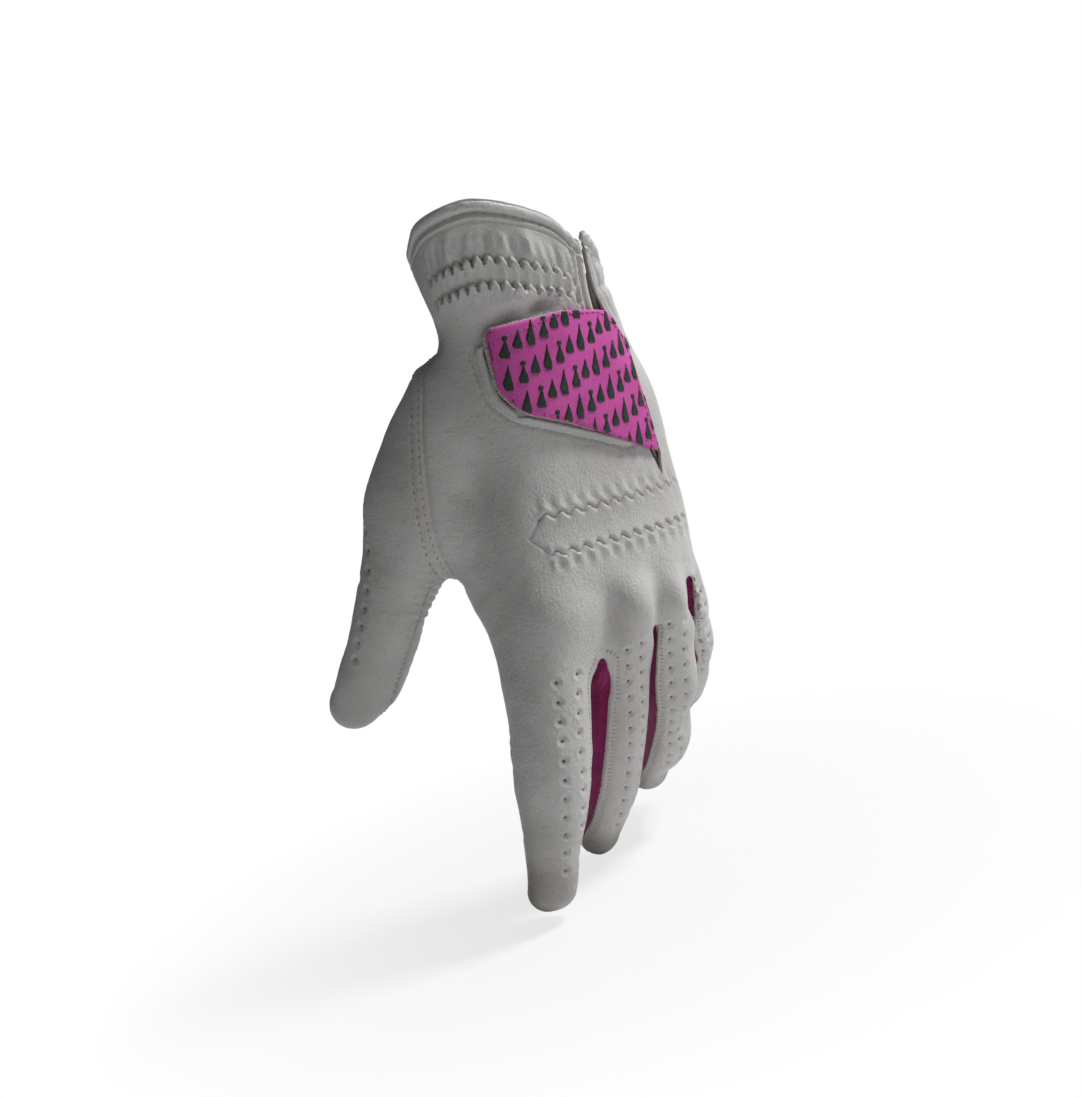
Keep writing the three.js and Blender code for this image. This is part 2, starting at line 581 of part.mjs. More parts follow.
// ---------- the knuckle elastic ----------
const bandPoint = (x, row) => [x, row + KNUCKLE_BAND.slope * x];
const { left: bandLeft, tip: bandTip, right: bandRight, rows: bandRows } = KNUCKLE_BAND;
const bandOutline = [
  bandPoint(bandLeft, bandRows[0]), bandPoint(bandTip, (bandRows[0] + bandRows[1]) / 2),
  bandPoint(bandLeft, bandRows[1]), bandPoint(bandRight, bandRows[1]), bandPoint(bandRight, bandRows[0]),
];
const band = layer(...INSIDE).intersect(backPrism(bandOutline)).subtract(foldCut);
addNode("knuckle_elastic", largest(band), elasticBand);
bandRows.forEach((row, i) => {
  const xs = spread(bandLeft, KNUCKLE_BAND.ends[i], 9);
  const line = curveThrough(xs.map((x) => backPoint(...bandPoint(x, row), STITCH_LEVEL)));
  addNode(`knuckle_zigzag_${i ? "lower" : "upper"}`, zigzag(line, Z), thread);
});

// ---------- the window, its patch and the slit's stitching ----------
const windowPrism = (grow) => backPrism(windowOutline(grow));
addNode("window_backing", largest(handLayer(...INSIDE).intersect(windowPrism(BACKING_LAP))), pinkKnit);
addNode("loop_patch", largest(handLayer(-WALL, 0).intersect(windowPrism(-LOOP_INSET))), loopPile);

// The window's left and lower edge, offset outwards and followed in short steps.
function windowEdge(offset, raised) {
  const [, , lowerRight, lowerLeft, cornerLeft] = windowOutline(offset);
  const corners = [[cornerLeft[0], WINDOW.top], cornerLeft, lowerLeft, lowerRight];
  const points = corners.map(([x, z]) => new THREE.Vector3(x, 0, z));
  const line = new THREE.CurvePath();
  points.slice(1).forEach((p, i) => line.add(new THREE.LineCurve3(points[i], p)));
  return line.getSpacedPoints(14).map((p) => backPoint(p.x, p.z, raised));
}
const piped = windowEdge(PIPING.out, STITCH_LEVEL - THREAD + PIPING.radius);
addNode("window_piping", cord(piped, PIPING.radius, 6), leather);
addNode("window_stitching", cord(windowEdge(PIPING.stitch, STITCH_LEVEL)), thread);
SLIT_STITCH.offsets.forEach((offset, i) => {
  const line = spread(...SLIT_STITCH.heights, 4)
    .map((z) => backPoint(slitX(z) - SLIT.half - offset, z, STITCH_LEVEL));
  addNode(`slit_stitching_${i ? "outer" : "inner"}`, cord(line), thread);
});

// ---------- the thumb's seam ----------
SEAM_STITCH.offsets.forEach((offset, i) => {
  const { z: [low, high], right, palm } = SEAM_STITCH;
  const line = layer(...THREADS).intersect(slice(seamA, seamNormal, offset, offset + 2 * THREAD));
  const top = high - offset;
  const reach = backPrism([[-FAR, low], [right, low], [right, top], [-FAR, top]]).translate([0, palm, 0]);
  addNode(`thumb_seam_stitching_${i ? "outer" : "inner"}`, largest(line.intersect(reach)), thread);
});

// ---------- the closure tab ----------
const [tabX, tabZ] = TAB_MIDDLE;
const innerOutline = TAB.map(([x, z]) => (
  [THREE.MathUtils.clamp(x, ...TAB_INNER.sides), tabZ + TAB_INNER.shrink * (z - tabZ)]
));
const tabInner = handLayer(...TAB_LAYERS.lining).intersect(backPrism(innerOutline));
addNode("tab_leather", largest(handLayer(...TAB_LAYERS.leather).intersect(backPrism(TAB))), pinkLeather);
addNode("tab_lining", largest(tabInner.intersect(rightOf(tabX))), suede);
addNode("tab_hook_patch", largest(tabInner.intersect(leftOf(tabX - GAP))), hookTape);

const tabInset = TAB.map(([x, z]) => {
  const share = 1 - TAB_STITCH / Math.hypot(x - tabX, z - tabZ);
  return new THREE.Vector3(tabX + share * (x - tabX), 0, tabZ + share * (z - tabZ));
});
const tabStitchLine = new THREE.CurvePath();
tabInset.forEach((p, i) => tabStitchLine.add(new THREE.LineCurve3(p, tabInset[(i + 1) % tabInset.length])));
const tabStitch = tabStitchLine.getSpacedPoints(30).slice(0, -1)
  .map((p) => backPoint(p.x, p.z, TAB_LAYERS.leather[1] + STITCH_LEVEL));
addNode("tab_stitching", cord(tabStitch, THREAD, 4, true), pinkThread);

// The part's origin is the middle of its outer box.
const outer = new THREE.Box3().setFromObject(glove);
const origin = outer.getCenter(new THREE.Vector3());
for (const mesh of glove.children) mesh.geometry.translate(-origin.x, -origin.y, -origin.z);
export default glove;
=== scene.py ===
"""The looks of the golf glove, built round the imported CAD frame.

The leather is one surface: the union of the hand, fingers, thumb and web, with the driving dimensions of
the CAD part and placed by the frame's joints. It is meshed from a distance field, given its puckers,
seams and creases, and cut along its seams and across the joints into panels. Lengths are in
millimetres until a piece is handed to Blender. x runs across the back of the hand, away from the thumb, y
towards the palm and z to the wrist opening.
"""
import json
import math
import bpy
import numpy as np
import openvdb
from mathutils import Matrix, Vector
from mathutils.bvhtree import BVHTree

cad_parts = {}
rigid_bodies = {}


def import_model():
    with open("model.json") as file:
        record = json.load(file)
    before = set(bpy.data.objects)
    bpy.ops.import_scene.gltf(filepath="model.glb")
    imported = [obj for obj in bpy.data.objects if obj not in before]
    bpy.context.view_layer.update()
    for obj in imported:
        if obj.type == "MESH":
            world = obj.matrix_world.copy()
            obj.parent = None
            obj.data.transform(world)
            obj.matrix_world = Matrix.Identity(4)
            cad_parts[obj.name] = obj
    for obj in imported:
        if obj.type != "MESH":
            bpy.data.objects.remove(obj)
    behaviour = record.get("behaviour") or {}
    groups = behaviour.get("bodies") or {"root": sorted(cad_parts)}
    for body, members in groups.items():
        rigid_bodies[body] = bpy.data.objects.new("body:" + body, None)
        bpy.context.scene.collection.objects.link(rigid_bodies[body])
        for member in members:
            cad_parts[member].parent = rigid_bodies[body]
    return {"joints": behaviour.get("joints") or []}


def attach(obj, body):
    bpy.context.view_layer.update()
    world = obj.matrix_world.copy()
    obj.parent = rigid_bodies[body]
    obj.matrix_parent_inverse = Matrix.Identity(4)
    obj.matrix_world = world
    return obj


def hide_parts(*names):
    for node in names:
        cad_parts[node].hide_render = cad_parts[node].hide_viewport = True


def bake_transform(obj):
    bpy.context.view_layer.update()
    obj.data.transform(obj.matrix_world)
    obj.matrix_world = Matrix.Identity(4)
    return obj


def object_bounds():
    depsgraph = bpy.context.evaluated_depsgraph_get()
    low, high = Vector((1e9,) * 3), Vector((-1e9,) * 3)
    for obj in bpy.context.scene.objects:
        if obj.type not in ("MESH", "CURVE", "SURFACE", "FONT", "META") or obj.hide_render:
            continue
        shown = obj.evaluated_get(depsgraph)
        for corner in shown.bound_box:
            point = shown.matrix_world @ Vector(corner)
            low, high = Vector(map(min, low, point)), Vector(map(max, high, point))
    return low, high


for leftover in list(bpy.data.objects):
    bpy.data.objects.remove(leftover)
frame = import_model()
CAD_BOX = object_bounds()
VOXEL = 0.6
FINE = 0.4  # voxel of the small sewn-on pieces
LEATHER = 0.9  # leather thickness

# ---------- driving dimensions, as in the CAD part ----------
FINGERS = {  # knuckle, splay and bends in degrees, bone lengths, half widths
    "index": ((-28, 1, 5.5), -14, (3, 3, 5), (40, 24, 18), (12.6, 11.5, 9.4, 7.5)),
    "middle": ((-7, -3, 2), -1, (22, 5, 10), (44, 26, 18), (11.5, 10.6, 9, 7.4)),
    "ring": ((9, -1.5, -1), 11, (23, 16, 11), (40, 26, 18), (10.2, 9.4, 8.2, 6.9)),
    "little": ((21, 2, 0), 23, (30, 15, 8), (34, 20, 16), (9.2, 8.2, 7.3, 6.2)),
}
FLATNESS = 0.9
THUMB_JOINTS = ((-18, 8, 88), (-31, 14, 74), (-53, 28, 34), (-65, 41, 6), (-69, 55, -8))
THUMB_HALF = (12, 16, 13, 11, 8.8)
THUMB_SIDE = (0.8, -0.6, 0)
WEB_LINE = ((-36, 15, 60), (-44, 21, 50.5), (-38.8, 15, 33.5), (-29, 4, -2))
WEB_DEPTH = (9, 11, 9.8, 9)
WEB_THICKNESS = (8, 11, 8.5, 10)
HAND = np.array([  # height, centre x and y, half width, half thickness
    (-18, -3, 5, 31, 8), (-8, -4, 2.5, 34.5, 11.5), (6, -5, 1, 35, 13.5), (28, -5, 2, 34, 14.5),
    (52, -5.5, 3.5, 31.5, 16), (74, -7, 4, 29, 17), (90, -8, 4, 27.5, 17.5), (108, -8.5, 3, 28.5, 19.5),
    (134, -8, 1, 30.5, 22),
], float)
SQUARENESS = 2.3
RIM_AT = (-8, -17, 119.5)
RIM_RISE = (-0.46, -0.42)
PIVOT_SHARE = 0.5  # a digit's hinge lies this share of its half thickness towards the palm


# ---------- curves and frames ----------
def unit(v):
    v = np.asarray(v, float)
    return v / np.linalg.norm(v, axis=-1, keepdims=True)


def smooth_min(a, b, k):
    h = np.maximum(k - np.abs(a - b), 0) / k
    return np.minimum(a, b) - h * h * k / 4


def smooth_step(x, low, high):
    t = np.clip((x - low) / (high - low), 0, 1)
    return t * t * (3 - 2 * t)


def plateau(x, rise_from, rise_to, fall_from, fall_to):
    """1 between rise_to and fall_from, fading to 0 on both sides."""
    return smooth_step(x, rise_from, rise_to) * (1 - smooth_step(x, fall_from, fall_to))


def bump(d, width):
    return np.exp(-((d / width) ** 2))


def curve_at(points, t):
    """A centripetal Catmull-Rom curve through the points, at shares t of its length in points."""
    points = np.asarray(points, float)
    last = len(points) - 1
    padded = np.vstack([2 * points[0] - points[1], points, 2 * points[-1] - points[-2]])
    place = np.atleast_1d(t) * last
    i = np.clip(np.floor(place).astype(int), 0, last - 1)
    w = (place - i)[:, None]
    p0, p1, p2, p3 = (padded[i + k] for k in range(4))
    d0, d1, d2 = (np.sqrt(np.linalg.norm(b - a, axis=1))[:, None] for a, b in ((p0, p1), (p1, p2), (p2, p3)))
    m1 = ((p1 - p0) / d0 - (p2 - p0) / (d0 + d1) + (p2 - p1) / d1) * d1
    m2 = ((p2 - p1) / d1 - (p3 - p1) / (d1 + d2) + (p3 - p2) / d2) * d1
    return p1 + m1 * w + (-3 * p1 + 3 * p2 - 2 * m1 - m2) * w**2 + (2 * p1 - 2 * p2 + m1 + m2) * w**3


def value_at(values, t):
    points = [(i, value, 0) for i, value in enumerate(values)]
    return curve_at(points, t)[:, 1]


class Digit:
    """A finger or thumb: its centre line, the way its palm side faces, the way across, and its half width."""

    def __init__(self, joints, half, side, steps=30):
        self.joints, self.half, self.side = joints, half, np.asarray(side, float)
        self.t = np.linspace(0, 1, steps + 1)
        self.centre, self.along, self.palm, self.across, self.width = self.at(self.t)

    def at(self, t):
        t = np.atleast_1d(np.asarray(t, float))
        step = 1e-3
        centre = curve_at(self.joints, t)
        ahead = curve_at(self.joints, np.minimum(t + step, 1))
        behind = curve_at(self.joints, np.maximum(t - step, 0))
        along = unit(ahead - behind)
        palm = unit(np.cross(self.side, along))
        return centre, along, palm, np.cross(along, palm), value_at(self.half, t)

    def pivot(self, t):
        centre, _, palm, _, width = (a[0] for a in self.at(t))
        return centre + palm * width * FLATNESS * PIVOT_SHARE


def finger(knuckle, splay, bends, bones, half):
    splay = math.radians(splay)
    joints, bend = [np.array(knuckle, float)], 0.0
    for length, turn in zip(bones, bends):
        bend += math.radians(turn)
        along = (math.sin(splay) * math.cos(bend), math.sin(bend), -math.cos(splay) * math.cos(bend))
        joints.append(joints[-1] + length * np.array(along))
    return Digit(joints, half, (math.cos(splay), 0, math.sin(splay)))


DIGITS = {name: finger(*table) for name, table in FINGERS.items()}
DIGITS["thumb"] = Digit(THUMB_JOINTS, THUMB_HALF, THUMB_SIDE)

# The frame's own joints say where the drawn shape sits in the row.
JOINTS = {j["name"]: j for j in frame["joints"]}
SHIFT = np.array(JOINTS["index_bend"]["pos_m"]) * 1000 - DIGITS["index"].pivot(1 / 3)
for name in ("middle", "ring", "little"):
    gap = np.array(JOINTS[name + "_bend"]["pos_m"]) * 1000 - DIGITS[name].pivot(1 / 3) - SHIFT
    assert np.abs(gap).max() < 0.5, f"the {name} finger no longer matches the frame: {gap}"


def row(points):
    """Points of the drawn shape, in millimetres, as metres in the row frame."""
    return (np.asarray(points, float) + SHIFT) / 1000


def drawn(points_m):
    return np.asarray(points_m, float) * 1000 - SHIFT


# ---------- the distance field ----------
OUTSIDE = 9.0  # value of a field far outside


def spread(axes):
    """Three axes as arrays that broadcast to the grid."""
    return [ax.reshape([-1 if k == j else 1 for k in range(3)]) for j, ax in enumerate(axes)]


def hand_section(z):
    """Centre x and y, half width and half thickness of the hand at heights z."""
    z = np.asarray(z, float)
    heights = HAND[:, 0]
    i = np.clip(np.searchsorted(heights, z, side="right") - 1, 0, len(HAND) - 2)
    before, after = np.maximum(i - 1, 0), np.minimum(i + 2, len(HAND) - 1)
    span = heights[i + 1] - heights[i]
    t = ((z - heights[i]) / span)[..., None]
    m1 = (HAND[i + 1] - HAND[before]) * (span / (heights[i + 1] - heights[before]))[..., None]
    m2 = (HAND[after] - HAND[i]) * (span / (heights[after] - heights[i]))[..., None]
    value = ((2 * t**3 - 3 * t**2 + 1) * HAND[i] + (t**3 - 2 * t**2 + t) * m1
             + (-2 * t**3 + 3 * t**2) * HAND[i + 1] + (t**3 - t**2) * m2)
    return value[..., 1], value[..., 2], value[..., 3], value[..., 4]


def hand_distance(x, y, z):
    """Roughly the distance outside the hand's tube, ignoring its lower end."""
    cx, cy, a, b = hand_section(z)
    u, v = np.abs((x - cx) / a), np.abs((y - cy) / b)
    n = SQUARENESS
    size = np.maximum((u**n + v**n) ** (1 / n), 1e-3)
    slope = size ** (1 - n) * np.sqrt((u ** (n - 1) / a) ** 2 + (v ** (n - 1) / b) ** 2)
    return (size - 1) / np.maximum(slope, 1 / 60)


def stamp(field, axes, ends, widths, frame_axes, shares=(1.0, FLATNESS, 1.0), reach=7.0):
    """Lowers the field near one stretch of a tapered tube, whose cross-section is an ellipse."""
    (c0, c1), (w0, w1) = ends, widths
    pad = max(w0, w1) * max(shares) + reach
    low, high = np.minimum(c0, c1) - pad, np.maximum(c0, c1) + pad
    part = tuple(slice(*np.searchsorted(ax, (a, b))) for ax, a, b in zip(axes, low, high))
    x, y, z = spread([ax[s] for ax, s in zip(axes, part)])
    e = c1 - c0
    s = np.clip(((x - c0[0]) * e[0] + (y - c0[1]) * e[1] + (z - c0[2]) * e[2]) / (e @ e), 0, 1)
    d = [x - c0[0] - s * e[0], y - c0[1] - s * e[1], z - c0[2] - s * e[2]]
    total = 0
    for direction, share in zip(frame_axes, shares):
        total = total + ((d[0] * direction[0] + d[1] * direction[1] + d[2] * direction[2]) / share) ** 2
    value = (np.sqrt(total) - (w0 + (w1 - w0) * s)) * min(shares[0], shares[1])
    np.minimum(field[part], value, out=field[part])


def tube_field(axes, shape, digit):
    field = np.full(shape, OUTSIDE, np.float32)
    for i in range(len(digit.t) - 1):
        stamp(field, axes, digit.centre[i:i + 2], digit.width[i:i + 2],
              (digit.across[i], digit.palm[i], digit.along[i]))
    return field


def web_field(axes, shape):
    field = np.full(shape, OUTSIDE, np.float32)
    t = np.linspace(0, 1, 13)
    centre, depth, thick = curve_at(WEB_LINE, t), value_at(WEB_DEPTH, t), value_at(WEB_THICKNESS, t)
    along = unit(np.gradient(centre, axis=0))
    down = unit(np.array([0, 0, -1]) + along * along[:, 2:3])
    for i in range(len(t) - 1):
        shares = (1.0, thick[i] / depth[i], 1.0)
        across = np.cross(along[i], down[i])
        stamp(field, axes, centre[i:i + 2], depth[i:i + 2], (down[i], across, along[i]), shares)
    return field


GAPS = (  # between two fingers: the crotch's height at the back and at the palm
    ("index", "middle", -7, -19), ("middle", "ring", -4.3, -19), ("ring", "little", 5, -14),
)
KNUCKLE_ROUNDING, FINGER_BLEND, HAND_BLEND, THUMB_BLEND, WEB_BLEND = 8.0, 1.5, 5.0, 9.0, 6.0
SLOT, SLOT_REACH, SLOT_EDGE = 1.3, 6, 1.2  # width of the cut between two fingers, its reach and edge rounding
STRIP_AT = (0, 0.1, 0.2, 0.5, 0.75, 0.97)  # shares of a finger's length
STRIP_BACK = {  # how far the strips before a finger reach towards its back, at those shares
    "middle": (9, 8.4, 6.6, 4.6, 2, -0.8),
    "ring": (7.6, 6, 3.6, 1.4, 0.2, -0.8),
    "little": (6, 4, 0.3, -0.8, -0.8, -0.5),
}
STRIP_FRONT = (6.5, 6, 5.5, 5, 4, 0.6)  # and towards the palm


def crotch_height(gap, y):
    """Height of the crotch between two fingers: it slopes from the back of the hand to the palm."""
    back, palm = gap[2:]
    return back + (palm - back) * smooth_step(y, -8, 12)


def hand_field(axes):
    x, y, _ = spread(axes)
    layers = [hand_distance(x[:, :, 0], y[:, :, 0], height) for height in axes[2]]
    return np.stack(layers, 2)


def glove_field(axes):
    x, y, z = spread(axes)
    shape = tuple(len(ax) for ax in axes)
    hand = hand_field(axes).astype(np.float32)
    floor = (HAND[0, 0] - z) + 0 * x
    hand = -smooth_min(-hand, -floor.astype(np.float32), KNUCKLE_ROUNDING)
    tubes = {name: tube_field(axes, shape, DIGITS[name]) for name in FINGERS}
    fingers = tubes["index"]
    for name in ("middle", "ring", "little"):
        fingers = smooth_min(fingers, tubes[name], FINGER_BLEND)
    total = smooth_min(hand, fingers, HAND_BLEND)
    for gap in GAPS:
        crotch = crotch_height(gap, y)
        one, other = tubes[gap[0]], tubes[gap[1]]
        slot = SLOT / 2 - np.abs(one - other) / 2 - 8 * smooth_step(z, crotch - 4, crotch + 1)
        near = (one < SLOT_REACH) & (other < SLOT_REACH)
        slot = np.where(near, slot, -OUTSIDE).astype(np.float32)
        total = -smooth_min(-total, -slot, SLOT_EDGE)
    total = smooth_min(total, tube_field(axes, shape, DIGITS["thumb"]), THUMB_BLEND)
    return smooth_min(total, web_field(axes, shape), WEB_BLEND)


# ---------- meshes as arrays ----------
def mesh_field(field, axes, voxel):
    """The zero surface of a field as points and triangles that face out."""
    grid = openvdb.FloatGrid(OUTSIDE)
    grid.copyFromArray(np.ascontiguousarray(field, np.float32))
    points, quads = grid.convertToQuads(0.0)
    points = np.asarray(points, float) * voxel + np.array([ax[0] for ax in axes])
    quads = np.asarray(quads, int)
    faces = np.vstack([quads[:, [0, 1, 2]], quads[:, [0, 2, 3]]])
    a, b, c = (points[faces[:, k]] for k in range(3))
    if np.einsum("ij,ij->i", a, np.cross(b, c)).sum() < 0:
        faces = faces[:, ::-1]
    return points, faces


def edges_of(faces):
    return np.vstack([faces[:, [0, 1]], faces[:, [1, 2]], faces[:, [2, 0]]])


def neighbour_mean(values, edges, count):
    number = np.maximum(np.bincount(edges[:, 0], minlength=count), 1)
    return np.bincount(edges[:, 0], values[edges[:, 1]], count) / number


def normals_of(points, faces):
    a, b, c = (points[faces[:, k]] for k in range(3))
    n = np.cross(b - a, c - a)
    total = np.stack([np.bincount(faces.ravel(), np.repeat(n[:, k], 3), len(points)) for k in range(3)], 1)
    return total / np.maximum(np.linalg.norm(total, axis=1, keepdims=True), 1e-12)


def smoothed(points, faces, rounds, share=0.5):
    edges = edges_of(faces)
    for _ in range(rounds):
        mean = np.stack([neighbour_mean(points[:, k], edges, len(points)) for k in range(3)], 1)
        points = points + share * (mean - points)
    return points


def grid_axes(low, high, voxel):
    return [np.arange(a, b + voxel, voxel) for a, b in zip(low, high)]


def hashed(i, j, k):
    n = (i * 374761393 + j * 668265263 + k * 1274126177) & 0xFFFFFFFF
    n = ((n ^ (n >> 13)) * 1103515245) & 0xFFFFFFFF
    return ((n ^ (n >> 16)) & 0xFFFF) / 32767.5 - 1


def noise(points, size, seed=0):
    """Smooth noise between -1 and 1, with lumps of the given size."""
    q = np.asarray(points) / size + 1000
    i = np.floor(q).astype(np.int64)
    f = q - i
    f = f * f * (3 - 2 * f)
    total = np.zeros(len(q))
    for dx in (0, 1):
        for dy in (0, 1):
            for dz in (0, 1):
                w = np.prod(np.where((dx, dy, dz), f, 1 - f), axis=1)
                total += w * hashed(i[:, 0] + dx + 7919 * seed, i[:, 1] + dy, i[:, 2] + dz)
    return total


SNAP = 0.04  # a point this near to a cut counts as on it


def cut(mesh, name):
    """Splits the triangles that the zero line of one of the mesh's fields crosses."""
    points, faces, data = mesh["points"], mesh["faces"], mesh["data"]
    f = data[name].copy()
    f[np.abs(f) < SNAP] = 0
    data[name] = f
    sign = np.sign(f)
    s = sign[faces]
    crossed = (s.max(1) > 0) & (s.min(1) < 0)
    keep, work = faces[~crossed], faces[crossed]
    edges = np.sort(edges_of(work), axis=1)
    cross_edges = np.unique(edges[sign[edges[:, 0]] * sign[edges[:, 1]] < 0], axis=0)
    a, b = cross_edges[:, 0], cross_edges[:, 1]
    w = (f[a] / (f[a] - f[b]))[:, None]
    start = len(points)
    index = {(int(p), int(q)): start + i for i, (p, q) in enumerate(cross_edges)}
    mesh["points"] = np.vstack([points, points[a] * (1 - w) + points[b] * w])
    for key, value in data.items():
        flat = value if value.ndim > 1 else value[:, None]
        mixed = flat[a] * (1 - w) + flat[b] * w
        data[key] = np.vstack([flat, mixed]).reshape((-1,) + value.shape[1:])
    data[name][start:] = 0
    data["normal"] = unit(data["normal"])
    made = []
    for tri in work.tolist():
        sg = [sign[v] for v in tri]
        if 0 in sg:
            k = sg.index(0)
            p, q, r = tri[k], tri[(k + 1) % 3], tri[(k + 2) % 3]
            m = index[(min(q, r), max(q, r))]
            made += [(p, q, m), (p, m, r)]
            continue
        k = [i for i in range(3) if sg[i] != sg[(i + 1) % 3] and sg[i] != sg[(i + 2) % 3]][0]
        p, q, r = tri[k], tri[(k + 1) % 3], tri[(k + 2) % 3]
        m, n = index[(min(p, q), max(p, q))], index[(min(p, r), max(p, r))]
        made += [(p, m, n), (m, q, r), (m, r, n)]
    mesh["faces"] = np.vstack([keep, np.array(made, int).reshape(-1, 3)])


def side_of(mesh, name):
    """For each face, whether it lies on the positive side of a field it was cut along."""
    return mesh["data"][name][mesh["faces"]].sum(1) > 0


# ---------- fields on the surface ----------
def rim_height(x, y):
    """Height of the wrist opening's edge. It is rounded down at the slit and at the thumb's side."""
    plane = RIM_AT[2] + RIM_RISE[0] * (x - RIM_AT[0]) + RIM_RISE[1] * (y - RIM_AT[1])
    back = smooth_step(-y, -4, 6)
    on_flap = smooth_step(x, 5.6, 6.3)
    at_slit = 4.4 * smooth_step(x, -10, 6) ** 2 * (1 - on_flap) * back
    flap_corner = 1.2 * smooth_step(-x, -9, -6.3) ** 2 * on_flap * back
    at_side = 1.5 * smooth_step(-x, 27, 38)
    return plane - at_slit - flap_corner - at_side


def polygon_distance(x, z, outline):
    """Signed distance from an outline in x and z, positive inside."""
    p = np.stack([x, z], 1)
    best = np.full(len(p), 1e9)
    inside = np.zeros(len(p), bool)
    for (ax, az), (bx, bz) in zip(outline, outline[1:] + outline[:1]):
        e = np.array([bx - ax, bz - az])
        d = p - (ax, az)
        t = np.clip(d @ e / (e @ e), 0, 1)[:, None]
        best = np.minimum(best, np.linalg.norm(d - t * e, axis=1))
        crosses = (az > z) != (bz > z)
        at = ax + (z - az) * (bx - ax) / np.where(bz == az, 1e-9, bz - az)
        inside ^= crosses & (x < at)
    return np.where(inside, best, -best)


def rounded(outline, radius, steps=5):
    """The outline with its corners rounded."""
    result = []
    n = len(outline)
    for i in range(n):
        p, q, r = (np.array(outline[(i + k) % n], float) for k in (-1, 0, 1))
        cut_back = min(radius, 0.45 * np.linalg.norm(p - q), 0.45 * np.linalg.norm(r - q))
        a, b = q + unit(p - q) * cut_back, q + unit(r - q) * cut_back
        for t in np.linspace(0, 1, steps):
            result.append(tuple((1 - t) ** 2 * a + 2 * t * (1 - t) * q + t * t * b))
    return result


AWAY = -5.0  # value of a cutting field where it doesn't apply
WRIST_LOW, WINDOW_LOW = 70, 30  # heights under which there is nothing of the cuff, or of the window and slit
SLIT = [(4.9, 128), (5.6, 104), (6.3, 90), (8.5, 70), (14, 44), (17.3, 35), (19, 42), (17, 62), (13.2, 82),
        (9.7, 92), (7.9, 102), (6.8, 112), (6.3, 128)]
SLIT_MIDDLE = [(17.3, 35), (15, 52), (11, 76), (7.9, 92), (6.7, 104), (5.6, 128)]
WINDOW = rounded([(-30.7, 88.5), (3.2, 86.8), (8.2, 49.1), (-26, 66.7), (-30.7, 73.4)], 3)
FOLD_LOW = drawn(JOINTS["cuff_flap_open"]["pos_m"])
FOLD_ALONG = unit(JOINTS["cuff_flap_open"]["axis"])
FOLD_OUT = unit(np.array([0.75, -0.66, 0]) - FOLD_ALONG * (np.array([0.75, -0.66, 0]) @ FOLD_ALONG))
FOLD_ACROSS = np.cross(FOLD_OUT, FOLD_ALONG)  # towards the slit
SEAM_POINTS = np.array([(-41, 10.2, 84.5), (-50.2, 13.3, 32.1), (-22, 28, 45)])
SEAM_NORMAL = -unit(np.cross(SEAM_POINTS[1] - SEAM_POINTS[0], SEAM_POINTS[2] - SEAM_POINTS[0]))
SEAM_TOP = unit([0.2, -0.3, -1])
SEAM_TOP_AT = np.array([-38, 12, 92])
KNUCKLE_ROWS, KNUCKLE_SLOPE, KNUCKLE_TIP = (33.8, 22.6), -0.1, -32.5
KNUCKLE_SPAN, KNUCKLE_PITCH, KNUCKLE_TOOTH = (-28, 24), 4.4, 2.0
WRIST_ROWS = ((15.7, 14.1), (22.0, 18.8))  # each row's depth below the opening, to the left and at the slit
PITCH, TOOTH = 3.6, 2.5  # of the zigzag rows on the wrist
CUFF_STITCH, WINDOW_STITCH = 3.5, 3.0  # how far in from the edge the stitching lies
SLIT_STITCH, SEAM_STITCH = (2.4, 4.6), (1.0, 3.2)
CREASES = (-0.045, -0.012, 0.022, 0.052)  # places of the creases at a joint, along the finger
FINGER_LENGTH = 105  # millimetres that a digit's whole length stands for in its coordinates
SPLIT_FINGER, BEND_FINGER = 0.21, (0.225, 0.44)
SPLIT_THUMB, BEND_THUMB = (0.47, 0.665), ((0.535, 0.655), (0.675, 0.85))


def slit_middle(z):
    return np.interp(z, [height for _, height in SLIT_MIDDLE], [x for x, _ in SLIT_MIDDLE])


def flap_field(points, on_back):
    """Positive on the part of the cuff beside the slit that swings open."""
    x, _, z = points.T
    beyond_fold = np.minimum((points - FOLD_LOW) @ FOLD_ACROSS, z - FOLD_LOW[2])
    return np.where(on_back | (x > 8), np.minimum(beyond_fold, (x - slit_middle(z)) * 2), AWAY)


def digit_coordinates(digit, points):
    """Where points lie along a digit, across it and towards its palm side, and how far out in half widths."""
    best = np.full(len(points), 1e9)
    t, u, v, r, beyond = (np.zeros(len(points)) for _ in range(5))
    for i in range(len(digit.t) - 1):
        c0, c1 = digit.centre[i], digit.centre[i + 1]
        e = c1 - c0
        s_free = (points - c0) @ e / (e @ e)
        s = np.clip(s_free, 0, 1)
        d = points - c0 - s[:, None] * e
        w = digit.width[i] + (digit.width[i + 1] - digit.width[i]) * s
        uu, vv, ll = d @ digit.across[i], d @ digit.palm[i], d @ digit.along[i]
        rr = np.sqrt(uu**2 + (vv / FLATNESS) ** 2 + ll**2) / w
        nearer = rr < best
        best = np.where(nearer, rr, best)
        t = np.where(nearer, (i + s) / (len(digit.t) - 1), t)
        u, v, r = np.where(nearer, uu / w, u), np.where(nearer, vv / w, v), np.where(nearer, rr, r)
        beyond = np.where(nearer, ll, beyond)
    return dict(t=t, u=u, v=v, r=r, beyond=beyond)


def triangle_wave(s, pitch, height):
    return height * (np.abs((s / pitch) % 1 - 0.5) * 4 - 1) / 2


def scallops(s):
    """Height of a row of rounded teeth that point to the opening."""
    return -TOOTH * (np.abs(np.sin(math.pi * s / PITCH)) ** 0.8 - 0.5)


def row_depth(row, x):
    return row[0] + (row[1] - row[0]) * smooth_step(x, -14, 4)


